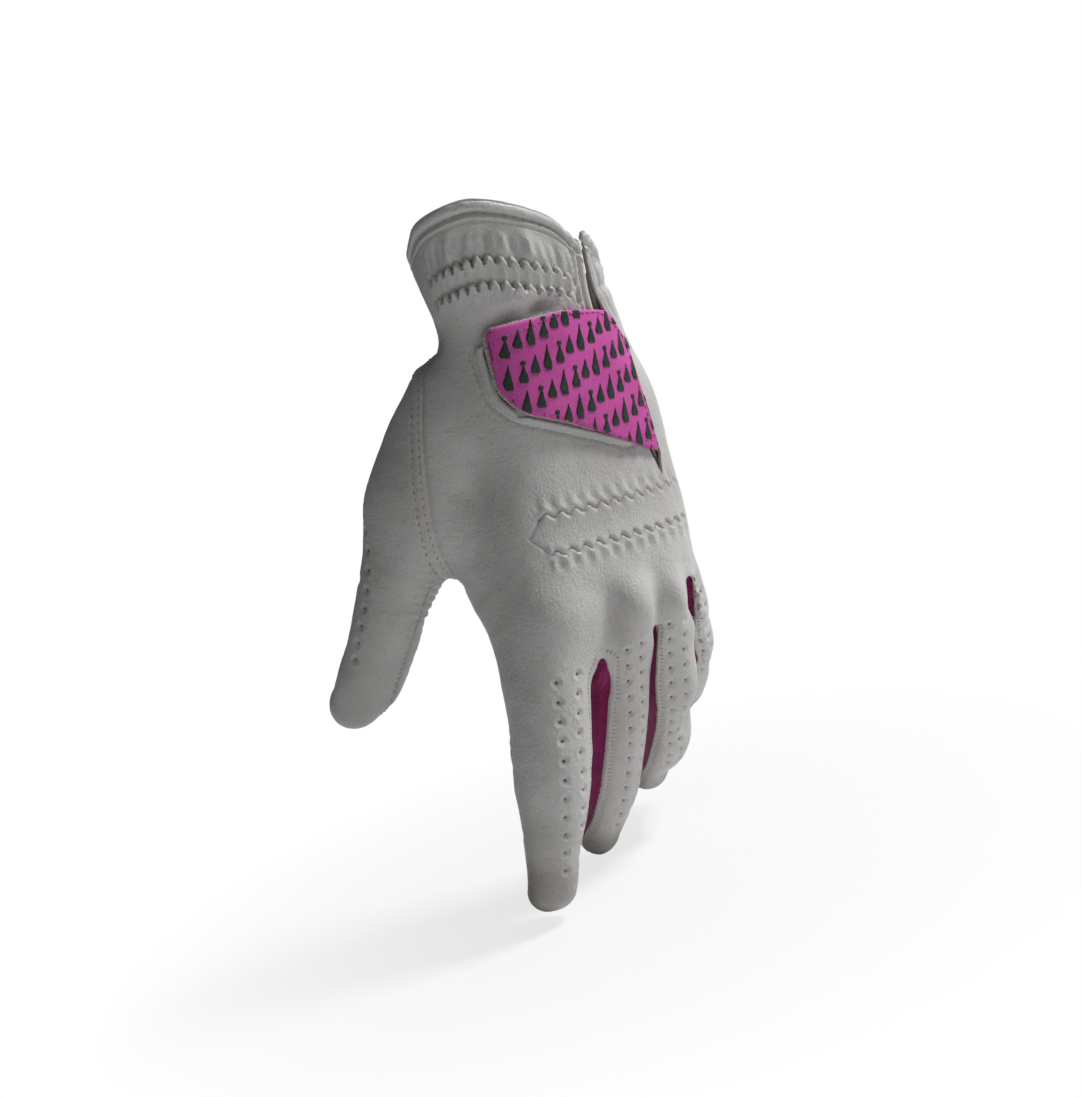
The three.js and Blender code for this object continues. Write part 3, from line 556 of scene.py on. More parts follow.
def round_angle(points):
    cx, cy, a, b = hand_section(points[:, 2])
    return np.arctan2(-(points[:, 1] - cy) / b, (points[:, 0] - cx) / a)


def wrist_coordinate(points):
    """Arc length round the back of the wrist, from the slit's side to the thumb's side."""
    return 29.0 * round_angle(points)


def thumb_seam_field(points):
    """Positive on the thumb's side of its set-in seam."""
    plane = (points - SEAM_POINTS[0]) @ SEAM_NORMAL
    top = (points - SEAM_TOP_AT) @ SEAM_TOP
    low = points[:, 2] - 12
    return smooth_min(smooth_min(plane, top, 14.0), low, 6.0)


def thumb_closing(c):
    """Distance round the thumb from the seam that closes it, which runs down its inner side to the tip."""
    return (np.arctan2(c["u"], -c["v"]) - 0.95) * 11.0


def fourchette_field(points, where):
    """Positive on the strips between the fingers."""
    best = np.full(len(points), -20.0)
    for gap in GAPS:
        start = crotch_height(gap, points[:, 1]) + 1 - points[:, 2]
        for name, side in ((gap[0], 1), (gap[1], -1)):
            c = where[name]
            width = value_at(DIGITS[name].half, c["t"])
            back = np.interp(c["t"], STRIP_AT, STRIP_BACK[gap[1]])
            front = np.interp(c["t"], STRIP_AT, STRIP_FRONT)
            pointed = 2.6 * np.exp(-np.maximum(start, 0) / 2.4)
            depth = np.minimum(c["v"] * width + back - pointed, front - c["v"] * width)
            close = (1.42 - c["r"]) * width
            end = (0.985 - c["t"]) * 70
            outward = (side * c["u"] - np.interp(c["t"], (0, 0.2, 0.4), (0.74, 0.66, 0.3))) * width
            best = np.maximum(best, np.minimum.reduce([depth, close, start, end, outward]))
    return best


KNUCKLES = (  # x and z on the back, height, width
    (-29, 9.6, 1.6, 8.5), (-3.5, 3, 1.7, 7), (10.7, -1.5, 1.6, 6), (22, -2, 0.9, 5),
)
BETWEEN_KNUCKLES = ((-14.5, 0, -2.6), (3.5, -0.5, -2.4), (16.5, -1, -1.6))
DIMPLES = (  # hollows and a fold above the tab: x and z, share of the width counted, radius, amount
    (-12.4, 94.3, 0.6, 2.2, -2.0), (-23, 94, 0.6, 2.4, -1.4), (-16, 98, 0.35, 2.2, 0.8),
)
FLAP_LUMPS = ((98, 2.8, 0.5), (91, 2.4, 0.3), (102, 1.5, -0.3), (94.3, 1.1, -0.4))  # height, width, amount
FULLNESS = (  # where the leather is filled out or drawn in: centre, radius, amount
    (-37, 13, 93, 8, -5.2), (-43, 22, 82, 9, -2.2), (-58, 30, 53, 13, 2.4), (-71, 47, 13, 16, -1.8),
    (-42, 8, -6, 13, 3), (-45, 3, -35, 15, 1.6), (23, -3.3, 60, 18, 2.9), (18, -4, 88, 9, 1.4),
    (28, -6, 6, 10, -2.2), (-38, 6, 119, 7, -1.2), (-36, 11, 92.5, 4, -2.6), (-33.5, 18, 91, 5, -2.4),
    (-30, 23, 90, 5, -1.6), (26, -5, -5, 8, -2.6), (41, 20, -31, 9, -1.7), (22, 12, -47, 9, -2.2),
    (24.5, 35, -69, 9, -2), (-41, 13, 7, 9, 1.2), (-73, 58, -1, 7, -1.2), (-1.5, 25.5, -70, 8, -1.1),
    (-4.5, 31, -80, 7, -1.3), (-60, 39, -4, 9, 0.9), (-74, 57, -15, 8, 1.3), (-66, 41, 27, 10, -0.9),
    (-63, 35, 40, 8, -0.8), (26, -6, 18, 9, -0.8), (21, -3, 68, 12, 0.7), (-62.5, 46, -10, 7, 1.5),
    (-49, 28.5, 15.2, 7, -1.1), (-42.5, 17.5, 13.5, 7, 1.1), (-35.5, 8, 98, 5, 1.2),
    (-37.5, 15.5, 89, 4, -1.4), (32.4, 5.8, -18.4, 8, -1), (26.8, -7, 1.3, 6, -0.7),
    (20.6, 12.5, -48.6, 7, -1.1), (19.4, 42.4, -73.8, 6, -1), (-41.7, 4.7, -74.3, 7, 1),
    (-49.5, 6.8, -80.3, 6, -0.7), (-77.3, 57.4, -7.4, 6, -0.7), (-51.8, 12.7, -66.4, 8, -0.6),
    (-32, 21, 89, 5, -1.2), (26, -3, -3, 7, -0.8), (20, 14, -52, 6, -0.7),
)
BROAD_ROUNDS = 24  # smoothing that takes the grooves out of the directions of those moves


def filled_out(points, faces):
    """The move that fills out or draws in the leather as a whole, without opening its grooves."""
    amounts = sum(amount * bump(np.linalg.norm(points - np.array(centre), axis=1), radius)
                  for *centre, radius, amount in FULLNESS)
    return amounts[:, None] * normals_of(smoothed(points, faces, BROAD_ROUNDS, 0.6), faces)


def displacement(points, normals, where):
    """How far each point of the leather stands off the plain shape."""
    x, y, z = points.T
    back = smooth_step(-normals[:, 1], -0.1, 0.4)
    palm = smooth_step(normals[:, 1], 0.0, 0.5)
    hand_part = 1 - smooth_step(-z, 2, 12)
    out = 0.4 * noise(points, 17, 1) + 0.24 * noise(points, 7, 2) + 0.06 * noise(points, 2.6, 3)

    for kx, kz, height, width in KNUCKLES:
        out += back * height * bump(np.hypot(x - kx, (z - kz) * 0.8), width)
    for kx, kz, height in BETWEEN_KNUCKLES:
        out += back * height * bump(np.hypot((x - kx) * 1.4, (z - kz) * 0.55), 5.5)

    # the cuff: a rolled edge, its stitching groove, and a fold line under it
    depth = rim_height(x, y) - z
    near_rim = z > WRIST_LOW
    out += near_rim * (0.3 * bump(depth - 4.5, 0.6) - 0.6 * bump(depth - CUFF_STITCH, 0.6)
                       - 0.3 * bump(depth - 5.4, 0.45))

    # shirring on the back of the wrist: two zigzag grooves with puffs between the teeth and folds fading away
    s = wrist_coordinate(points)
    across = plateau(s, 33, 36, 84, 92) * near_rim
    wander = 1 + 0.35 * noise(points, 7, 5)
    pleat = np.cos(2 * math.pi * s / PITCH)
    for wrist_row in WRIST_ROWS:
        zig = depth - row_depth(wrist_row, x) - scallops(s)
        lap = 0.8 * smooth_step(zig, -0.2, 0.6) * np.exp(-np.maximum(zig, 0) / 2.6)
        cusp = 0.35 + 0.65 * (1 - np.abs(np.sin(math.pi * s / PITCH)))
        pocket = 1.5 * cusp * smooth_step(-zig, -0.4, 0.5) * np.exp(-np.maximum(-zig, 0) / 1.7)
        out += across * wander * (lap - pocket)
    fade = bump(depth - (row_depth(WRIST_ROWS[0], x) + row_depth(WRIST_ROWS[1], x)) / 2, 2.8)
    above = plateau(depth, 7.5, 10, 11.5, 13.5)
    below = plateau(depth, 22, 24, 24, 29)
    folds = noise(np.stack([s, depth * 0.35, 0 * s], 1), 4.2, 6)
    out += across * (-0.28 * pleat * fade + 0.25 * pleat * above - 0.15 * pleat * below)
    out += across * folds * (0.9 * plateau(depth, 5.5, 9, 12, 16) + 0.2 * fade)
    for dx, dz, share, radius, amount in DIMPLES:
        out += amount * bump(np.hypot((x - dx) * share, z - dz), radius) * back

    # the elastic over the knuckles: two zigzag rows that end in an arrow
    band = back * (1 - smooth_step(-z, -12, -8))
    for i, line in enumerate(KNUCKLE_ROWS):
        rise = z - line - KNUCKLE_SLOPE * x
        left, right = KNUCKLE_SPAN
        here = band * plateau(x, left - 1.5, left, right, right + 2)
        groove = bump(rise - triangle_wave(x, KNUCKLE_PITCH, KNUCKLE_TOOTH), 0.65)
        out += here * (0.5 * bump(rise, 2.6) - 0.8 * groove)
        outward = 2.5 if i == 0 else -2.5
        pleat = np.cos(2 * math.pi * x / KNUCKLE_PITCH + i * math.pi)
        out += here * 0.3 * pleat * bump(rise - outward, 2.5)
    middle = sum(KNUCKLE_ROWS) / 2 + KNUCKLE_SLOPE * x
    arrow = np.abs(z - middle) - np.clip((x - KNUCKLE_TIP) / 4.5, 0, 1) * 5.6
    out -= band * 0.5 * bump(arrow, 0.6) * plateau(x, KNUCKLE_TIP - 1, KNUCKLE_TIP, -28.5, -27.5)

    # the window's bound edge and its stitching
    window = -polygon_distance(x, z, WINDOW)
    front = back * (y < 3) * (z > WINDOW_LOW)
    framed = front * (1 - smooth_step(x + (z - 47) * 0.2, 8, 10)) * (1 - smooth_step(z, 86, 89))
    out += framed * (0.3 * bump(window - 1.4, 1.3) - 0.4 * bump(window - WINDOW_STITCH, 0.45))

    # double-stitched edges of the slit
    slit = -polygon_distance(x, z, SLIT)
    inner, outer = SLIT_STITCH
    edge = 0.45 * bump(slit - 1.1, 1.0) + 0.25 * bump(slit - 3.4, 0.6)
    out += front * (z > 84) * (edge - 0.5 * bump(slit - inner, 0.5) - 0.35 * bump(slit - outer, 0.5))
    flap = front * smooth_step(x, 9.5, 12) * (z > 80)
    for height, width, amount in FLAP_LUMPS:
        out += flap * amount * bump(z - height, width)

    # the thumb's set-in seam, lapped over, with two rows of stitching
    seam = thumb_seam_field(points)
    on_thumb = (where["thumb"]["t"] < 0.62) * (z > 14)
    lap = 0.4 * plateau(seam, -0.2, 0.4, 4, 9) - 0.45 * bump(seam + 0.3, 0.6)
    out += on_thumb * (lap - 0.28 * sum(bump(seam - at, 0.45) for at in SEAM_STITCH))

    # the strips between the fingers are sunk between raised seams
    strip = fourchette_field(points, where)
    out += 0.2 * bump(strip + 0.6, 0.7) - 0.6 * smooth_step(strip, -0.3, 0.6) - 0.16 * bump(strip + 1.7, 0.45)

    # creases where fingers and thumb bend
    uneven = [0.75 + 0.5 * noise(points, 6, 9 + k) for k in range(len(CREASES))]
    for name, c in where.items():
        joints, back_share = ((0.5, 0.75), 0.3) if name == "thumb" else ((1 / 3, 2 / 3), 0.5)
        inner, outer = smooth_step(c["v"], 0.15, 0.7), smooth_step(-c["v"], 0.25, 0.8) * back_share
        skin_here = smooth_step(1.3 - c["r"], 0, 0.1) * (0.42 * inner + 0.25 * outer)
        for joint in joints:
            for k, shift in enumerate(CREASES):
                wave = 0.012 * np.sin(c["u"] * 3 + k * 2 + joint * 9)
                line = (c["t"] - joint - shift + wave) * FINGER_LENGTH
                out -= skin_here * bump(line, 0.9) * uneven[k]

    # wrinkles of the thumb's palm side near the web, and folds in the web and palm
    c = where["thumb"]
    turned = smooth_step(c["u"], 0.2, 0.6) * (c["r"] < 1.35)
    near_web = bump(np.hypot(x + 52, z - 22), 13) * turned
    ridges = np.sin((x * 0.5 + z * 1.25 + 1.6 * noise(points, 8, 21)) * 1.9)
    out += 0.2 * near_web * ridges * (0.7 + 0.5 * noise(points, 5, 22))
    closing = thumb_closing(c)
    on_closing = plateau(c["t"], 0.5, 0.56, 0.96, 1.0) * (c["r"] < 1.3)
    lap = 0.5 * smooth_step(-closing, -0.3, 0.3) * np.exp(-np.abs(closing) / 3)
    out += on_closing * (lap - 0.8 * bump(closing, 0.7))
    upper = bump(z - 30 - 0.35 * (x + 5) + 3 * np.sin(x * 0.09), 1.5) * smooth_step(x, -32, -24)
    lower = bump(z - 13 + 0.25 * (x + 5) + 2 * np.sin(x * 0.12), 1.4)
    out -= palm * hand_part * (0.8 * upper + 0.7 * lower)
    out -= 0.7 * palm * bump(x + 18 - 0.006 * (z - 40) ** 2, 1.6) * plateau(z, 22, 30, 70, 84)
    folds = np.sin(x * 0.55 + 0.6 * noise(points, 12, 31))
    out += 0.45 * palm * near_rim * folds * plateau(depth, 5, 12, 14, 30)
    return out


# ---------- build the leather surface ----------
FIELD_BOX = ((-80, -23, -87), (51, 66, float(HAND[-1, 0]) + 1))
# The depth of a point below its neighbours sets the painted shade in grooves, creases and dimples.
HOLLOW_RINGS = 6  # rings of neighbours that a point is compared with for how deep it lies


def base_surface():
    axes = grid_axes(*FIELD_BOX, VOXEL)
    points, faces = mesh_field(glove_field(axes), axes, VOXEL)
    points = smoothed(points, faces, 3, 0.6)
    normals = normals_of(points, faces)
    where = {name: digit_coordinates(digit, points) for name, digit in DIGITS.items()}
    out = displacement(points, normals, where)
    points = points + normals * out[:, None] + filled_out(points, faces)
    # how far each point lies below its neighbours: the amount of painted shade there
    around, edges = out, edges_of(faces)
    for _ in range(HOLLOW_RINGS):
        around = neighbour_mean(around, edges, len(points))
    return points, faces, where, out - around


points, faces, where, hollow_shade = base_surface()
normals = normals_of(points, faces)
SKIN = BVHTree.FromPolygons(points.tolist(), faces.tolist())


def project(origin, direction):
    """The leather's point and outward normal that a ray from outside meets."""
    hit, normal, _, _ = SKIN.ray_cast(Vector(origin), Vector(direction))
    if hit is None:
        hit, normal, _, _ = SKIN.find_nearest(Vector(origin))
    return np.array(hit), np.array(normal)


def on_round(angle, depth):
    """A point round the hand at an angle, at a depth below the opening's edge."""
    z = 110.0
    for _ in range(6):
        cx, cy, a, b = (float(v) for v in hand_section(z))
        direction = np.array([a * math.cos(angle), -b * math.sin(angle), 0]) / max(a, b)
        origin = np.array([cx, cy, z]) + unit(direction) * 60
        hit, normal = project(origin, -unit(direction))
        z = float(rim_height(hit[0], hit[1])) - depth
    return hit, normal


# ---------- perforations ----------
PERFORATIONS = (  # how many, and the line they follow on the leather
    (11, ((-37.1, -8, -10.7), (-39.4, -7.5, -24), (-41.3, -6.5, -35.1), (-46, 0, -67.3))),
    (11, ((-29.9, -8.9, -10.6), (-32.6, -8, -22), (-35, -6.8, -34.4), (-39.2, 2.4, -66.8))),
    (13, ((-10.5, -8.6, -10.3), (-9.1, 3.2, -38.9), (-9.8, 22.8, -71.3))),
    (13, ((-5.7, -9.2, -9.5), (-3.3, 4.1, -39), (-3.6, 22, -69))),
    (12, ((6.7, -8.5, -8.3), (10.1, 5.8, -37.1), (16.2, 24.9, -60.9))),
    (12, ((12.4, -7.9, -8.4), (16, 9.3, -44.7), (21, 25, -60))),
    (9, ((23.2, -7.6, 1), (26, -1, -15), (33.2, 16.5, -35))),
    (9, ((27.5, -6, -0.5), (31, 0.5, -15), (38.2, 17.5, -34))),
    (10, ((-56.5, 30.7, 53.5), (-62.6, 29.1, 43.2), (-68.3, 29.4, 27.5), (-74.8, 38.2, 7.3))),
)
HOLE, DIMPLE = 0.42, 1.25  # radii


def perforation_centres():
    centres = []
    for count, line in PERFORATIONS:
        path = curve_at(line, np.linspace(0, 1, 60))
        length = np.concatenate([[0], np.cumsum(np.linalg.norm(np.diff(path, axis=0), axis=1))])
        for at in np.linspace(0, length[-1], count):
            p = [float(np.interp(at, length, path[:, k])) for k in range(3)]
            centres.append(np.array(SKIN.find_nearest(Vector(p))[0]))
    return centres


to_hole = np.full(len(points), 9.0)
for centre in perforation_centres():
    to_hole = np.minimum(to_hole, np.linalg.norm(points - centre, axis=1))
points = points + normals * (0.14 * bump(to_hole - 1.9, 0.6) - 0.6 * bump(to_hole, DIMPLE))[:, None]
# painted shade in and round each perforation's dimple
hollow_shade = hollow_shade - 0.5 * bump(to_hole, 0.9)
normals = normals_of(points, faces)
SKIN = BVHTree.FromPolygons(points.tolist(), faces.tolist())

# ---------- the panels ----------
x, y, z = points.T
BACK = y < hand_section(z)[1] - 2
nearest = np.argmin([where[name]["r"] for name in DIGITS], axis=0)
nearest_to = {name: nearest == i for i, name in enumerate(DIGITS)}


def digit_field(name, split):
    """Positive on a digit beyond the share of its length where its leather bends."""
    c = where[name]
    on = nearest_to[name] & (z < -4 if name != "thumb" else x < -36)
    return np.where(on, np.minimum((c["t"] - split) * 110, (1.35 - c["r"]) * 12), AWAY)


fields = {
    "rim": rim_height(x, y) - z,
    "slit": np.where(BACK & (z > WINDOW_LOW), polygon_distance(x, z, SLIT), AWAY),
    "window": np.where(BACK & (z > WINDOW_LOW), polygon_distance(x, z, WINDOW), AWAY),
    "flap": flap_field(points, BACK),
    "seam": np.where(x < -8, thumb_seam_field(points), AWAY),
    "strip": fourchette_field(points, where),
    "hole": HOLE - to_hole,
    "thumb": digit_field("thumb", SPLIT_THUMB[0]),
    "thumb_tip": digit_field("thumb", SPLIT_THUMB[1]),
}
for name in FINGERS:
    fields[name] = digit_field(name, SPLIT_FINGER)

brown = sum(smooth_step(where[name]["t"], 0.7, 0.95) * nearest_to[name] for name in FINGERS)
leather = dict(points=points, faces=faces, data=dict(fields, normal=normals, hollow_shade=hollow_shade, brown=brown))
for name in fields:
    cut(leather, name)
side = {name: side_of(leather, name) for name in fields}
kept = side["rim"] & ~side["slit"] & ~side["window"] & ~side["hole"]


# ---------- Blender objects ----------
def new_object(name, verts, tris, vertex_normals=None, attributes=None):
    data = bpy.data.meshes.new(name)
    data.vertices.add(len(verts))
    data.vertices.foreach_set("co", row(verts).astype(np.float32).ravel())
    data.loops.add(3 * len(tris))
    data.loops.foreach_set("vertex_index", np.asarray(tris, np.int32).ravel())
    data.polygons.add(len(tris))
    data.polygons.foreach_set("loop_start", np.arange(0, 3 * len(tris), 3, dtype=np.int32))
    data.update(calc_edges=True)
    data.polygons.foreach_set("use_smooth", np.full(len(tris), True))
    for key, value in (attributes or {}).items():
        data.attributes.new(key, "FLOAT", "POINT").data.foreach_set("value", np.asarray(value, np.float32))
    if vertex_normals is not None:
        data.normals_split_custom_set_from_vertices(np.asarray(vertex_normals, np.float32))
    obj = bpy.data.objects.new(name, data)
    bpy.context.scene.collection.objects.link(obj)
    return obj


FLAP_BEND, TAB_BEND = 9, 6.5  # length of leather that bends at the flap's fold and at the tab's hinge
FOLD_END = FOLD_LOW + FOLD_ACROSS * FLAP_BEND
TAB_HINGE = drawn(JOINTS["tab_peel"]["pos_m"])


def centres(name, shares):
    return [DIGITS[name].at(t)[0][0] for t in shares]


BENDS = {  # the two bodies a piece bends between, and where the bend starts and ends
    "knuckles": ("hand", "fingers", (-5, 8, 16), (-5, 8, -12)),
    "thumb": ("hand", "thumb", *centres("thumb", BEND_THUMB[0])),
    "thumb_tip": ("thumb", "thumb_tip", *centres("thumb", BEND_THUMB[1])),
    "flap": ("hand", "cuff_flap", FOLD_LOW, FOLD_END),
    "tab": ("cuff_flap", "tab", TAB_HINGE, TAB_HINGE - np.array([TAB_BEND, 0, 0])),
}
for name in FINGERS:
    BENDS[name] = ("fingers", name + "_finger", *centres(name, BEND_FINGER))


def finish_piece(obj, how, materials, slot, *nodes):
    """Gives a piece its materials, parents it to its body or bakes its place if it is in BENDS, and hides its
    CAD nodes.
    """
    for material in materials:
        obj.data.materials.append(material)
    if how in BENDS:
        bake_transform(obj)
    else:
        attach(obj, how)
    if nodes:
        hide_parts(*nodes)


def panel(name, chosen, how, material, slot, *nodes):
    """The chosen faces as a closed sheet: its outer face, its suede inner face and its cut edges."""
    used, local = np.unique(leather["faces"][chosen & kept], return_inverse=True)
    tri = local.reshape(-1, 3)
    n = leather["data"]["normal"][used]
    outer = leather["points"][used]
    inner = outer - n * LEATHER
    m = len(used)
    edges = edges_of(tri)
    border = edges[~np.isin(edges[:, 0] * m + edges[:, 1], edges[:, 1] * m + edges[:, 0])]
    a, b = border[:, 0], border[:, 1]
    corners = np.stack([outer[b], outer[a], inner[a], inner[b]], 1)
    wall_normal = unit(np.cross(corners[:, 1] - corners[:, 0], corners[:, 3] - corners[:, 0]) + 1e-9)
    first = 2 * m + 4 * np.arange(len(border))[:, None]
    walls = np.vstack([first + [0, 1, 2], first + [0, 2, 3]])
    verts = np.vstack([outer, inner, corners.reshape(-1, 3)])
    tris = np.vstack([tri, tri[:, ::-1] + m, walls])
    vertex_normals = np.vstack([n, -n, np.repeat(wall_normal, 4, axis=0)])
    edge_index = np.stack([b, a, a, b], 1).ravel()
    attributes = {}
    for key in ("hollow_shade", "brown"):
        value = leather["data"][key][used]
        attributes[key] = np.concatenate([value, value, value[edge_index]])
    obj = new_object(name, verts, tris, vertex_normals, attributes)
    finish_piece(obj, how, [material, SUEDE], slot, *nodes)
    index = np.repeat([0, 1, 0], [len(tri), len(tri), len(walls)])
    obj.data.polygons.foreach_set("material_index", index.astype(np.int32))


def sheet(name, region, heights, how, material, slot, *nodes, box, crown=0.0, crown_from=None, rounding=0.8,
          voxel=FINE, rounds=4):
    """A sewn-on sheet between two heights above the back of the hand, within a region of it.

    The region and crown_from give distances inside an outline; the crown raises the sheet away from its edge.
    """
    low, high = heights
    axes = grid_axes(*box, voxel)
    flat_x, flat_z = (a.ravel() for a in np.meshgrid(axes[0], axes[2], indexing="ij"))
    shape = (len(axes[0]), 1, len(axes[2]))
    within = region(flat_x, flat_z).reshape(shape)
    inward = (crown_from or region)(flat_x, flat_z).reshape(shape)
    height = hand_field(axes)
    raised = crown * (1 - np.exp(-np.maximum(inward, 0) / 2.5))
    slab = np.abs(height - raised - (low + high) / 2) - (high - low) / 2
    field = -smooth_min(-slab, within + 0 * slab, rounding)
    margin = 2
    field = np.pad(np.minimum(field, OUTSIDE), margin, constant_values=OUTSIDE)
    axes = [ax[:1] - margin * voxel for ax in axes]  # meshing reads only where each axis starts
    verts, tris = mesh_field(field, axes, voxel)
    finish_piece(new_object(name, smoothed(verts, tris, rounds), tris), how, [material], slot, *nodes)


# ---------- lines on the leather, and stitches along them ----------
SHORTEST_LINE = 5  # points that a line needs to be stitched
FINE_STEP = 0.25  # spacing of the points that the stitches are set out by


def isoline(field, keep):
    """The lines where a field is zero, over the kept points, as arrays of points and normals."""
    tri = faces[keep[faces].all(1)]
    s = field[tri] > 0
    tri = tri[s.any(1) & ~s.all(1)]
    links, place = {}, {}
    for t in tri.tolist():
        ends = []
        for p, q in ((t[0], t[1]), (t[1], t[2]), (t[2], t[0])):
            if (field[p] > 0) != (field[q] > 0):
                key = (min(p, q), max(p, q))
                if key not in place:
                    w = field[key[0]] / (field[key[0]] - field[key[1]])
                    place[key] = np.concatenate([points[key[0]] * (1 - w) + points[key[1]] * w,
                                                 normals[key[0]] * (1 - w) + normals[key[1]] * w])
                ends.append(key)
        links.setdefault(ends[0], []).append(ends[1])
        links.setdefault(ends[1], []).append(ends[0])
    chains = []
    todo = sorted(links, key=lambda k: (len(links[k]), k))
    seen = set()
    for start in todo:
        if start in seen:
            continue
        chain, onward = [], [start]
        while onward:
            chain.append(onward[0])
            seen.add(onward[0])
            onward = [k for k in links[chain[-1]] if k not in seen]
        if len(chain) >= SHORTEST_LINE:
            chains.append(np.array([place[k] for k in chain]))
    return chains


def resampled(line, step):
    length = np.concatenate([[0], np.cumsum(np.linalg.norm(np.diff(line[:, :3], axis=0), axis=1))])
    at = np.arange(0, length[-1], step)
    return np.stack([np.interp(at, length, line[:, k]) for k in range(line.shape[1])], 1)


def capsule(rings=5, around=7):
    """A unit stitch: a bar along x from -1 to 1 whose ends taper, as points and triangles."""
    verts, tris = [(-1, 0, 0)], []
    for i in range(rings):
        at = math.cos(math.pi * (1 - (i + 0.5) / rings))
        r = (1 - at**4) ** 0.5
        verts += [(at, r * math.cos(2 * math.pi * k / around), r * math.sin(2 * math.pi * k / around))
                  for k in range(around)]
    verts.append((1, 0, 0))
    for k in range(around):
        j = (k + 1) % around
        tris.append((0, 1 + j, 1 + k))
        for i in range(rings - 1):
            a, b = 1 + i * around, 1 + (i + 1) * around
            tris += [(a + k, a + j, b + j), (a + k, b + j, b + k)]
        last = 1 + (rings - 1) * around
        tris.append((last + k, last + j, len(verts) - 1))
    return np.array(verts, float), np.array(tris, int)


CAPSULE = capsule()


def bars(items):
    """Stitches as one set of points and triangles. Each is a centre, a direction, a normal and its sizes."""
    verts, tris = [], []
    shape, faces_of_one = CAPSULE
    for centre, along, normal, half, thick in items:
        along = unit(along)
        normal = unit(normal - along * (normal @ along))
        side_way = np.cross(along, normal)
        tris.append(faces_of_one + len(verts) * len(shape))
        verts.append(centre + np.outer(shape[:, 0] * half, along)
                     + (np.outer(shape[:, 1], normal) + np.outer(shape[:, 2], side_way)) * thick)
    return np.vstack(verts), np.vstack(tris)


def stitches(chains, pitch, share=0.62, thick=0.3, sunk=0.05, across=0.0):
    """A stitch every pitch along the chains. With across, each is a short bar laid over the line instead."""
    items = []
    for line in chains:
        fine = resampled(line, FINE_STEP)
        reach = max(1, int(pitch * share / 2 / FINE_STEP))
        for i in range(int((len(fine) - 2) * FINE_STEP / pitch)):
            k = int((i + 0.5) * pitch / FINE_STEP)
            before, after = fine[max(k - reach, 0)], fine[min(k + reach, len(fine) - 1)]
            along = after[:3] - before[:3]
            normal = unit(fine[k, 3:])
            centre = (before[:3] + after[:3] + fine[k, :3] * 2) / 4 - normal * sunk
            if across:
                along = np.cross(normal, unit(along)) + 0.35 * unit(along)
                items.append((fine[k, :3] - normal * sunk, along, normal, across, thick))
            else:
                items.append((centre, along, normal, max(np.linalg.norm(along) / 2, 0.3), thick))
    return items


def sew(name, chains, how, material, sizes, *nodes, slot="thread", across=0.0):
    """A piece of stitches along the chains, unless there are none to lay."""
    items = stitches(chains, *sizes, across=across)
    if items:
        finish_piece(new_object(name, *bars(items)), how, [material], slot, *nodes)


# ---------- materials ----------
class Nodes:
    """A material's node tree, written as nested calls."""

    def __init__(self, name):
        self.material = bpy.data.materials.new(name)
        self.material.use_nodes = True
        self.tree = self.material.node_tree
        self.shader = self.tree.nodes["Principled BSDF"]

    def put(self, socket, value):
        if isinstance(value, bpy.types.NodeSocket):
            self.tree.links.new(value, socket)
        else:
            socket.default_value = value

    def node(self, kind, output=0, settings=None, **inputs):
        node = self.tree.nodes.new("ShaderNode" + kind)
        for key, value in (settings or {}).items():
            setattr(node, key, value)
        for key, value in inputs.items():
            self.put(node.inputs[key.replace("_", " ")], value)
        return node.outputs[output]

    def place(self):
        return self.node("TexCoord", "Object")

    def noise(self, scale, detail=3.0, roughness=0.5, stretch=None):
        where = self.place()
        if stretch:
            where = self.node("Mapping", Vector=where, Scale=stretch)
        return self.node("TexNoise", "Fac", Vector=where, Scale=scale, Detail=detail, Roughness=roughness)

    def cells(self, scale, feature="F1", randomness=1.0):
        return self.node("TexVoronoi", "Distance", dict(feature=feature), Vector=self.place(), Scale=scale,
                         Randomness=randomness)

    def mottled(self, scale, detail, light, dark, low=0.3, high=0.7, share=1.0):
        """Two colours mixed by soft noise."""
        return self.mix(self.remap(self.noise(scale, detail), low, high, 0, share), light, dark)

    def wave(self, value, turns):
        return self.math("SINE", self.math("MULTIPLY", value, turns))

    def axis(self, index):
        return self.node("SeparateXYZ", index, Vector=self.place())

    def math(self, operation, *values, clamp=False):
        node = self.tree.nodes.new("ShaderNodeMath")
        node.operation, node.use_clamp = operation, clamp
        for socket, value in zip(node.inputs, values):
            self.put(socket, value)
        return node.outputs[0]

    def remap(self, value, low, high, to_low=0.0, to_high=1.0):
        node = self.tree.nodes.new("ShaderNodeMapRange")
        for socket, v in zip(node.inputs, (value, low, high, to_low, to_high)):
            self.put(socket, v)
        return node.outputs[0]

    def mix(self, share, a, b, blend="MIX"):
        node = self.tree.nodes.new("ShaderNodeMix")
        node.data_type, node.blend_type = "RGBA", blend
        for socket, value in zip((node.inputs[0], node.inputs[6], node.inputs[7]), (share, a, b)):
            self.put(socket, value)
        return node.outputs[2]

    def attribute(self, name):
        return self.node("Attribute", "Fac", dict(attribute_name=name))

    def bump(self, height, distance, strength=1.0, under=None):
        node = self.tree.nodes.new("ShaderNodeBump")
        self.put(node.inputs["Height"], height)
        node.inputs["Distance"].default_value = distance
        node.inputs["Strength"].default_value = strength
        if under:
            self.put(node.inputs["Normal"], under)
        return node.outputs[0]

    def finish(self, color, roughness, normal=None, **inputs):
        self.put(self.shader.inputs["Base Color"], color)
        self.put(self.shader.inputs["Roughness"], roughness)
        if normal:
            self.put(self.shader.inputs["Normal"], normal)
        for key, value in inputs.items():
            self.put(self.shader.inputs[key.replace("_", " ")], value)
        return self.material


def srgb(*values):
    return tuple(((v / 255 + 0.055) / 1.055) ** 2.4 if v > 10 else v / 255 / 12.92 for v in values) + (1.0,)


PORES = 1250  # pores of the leather per metre
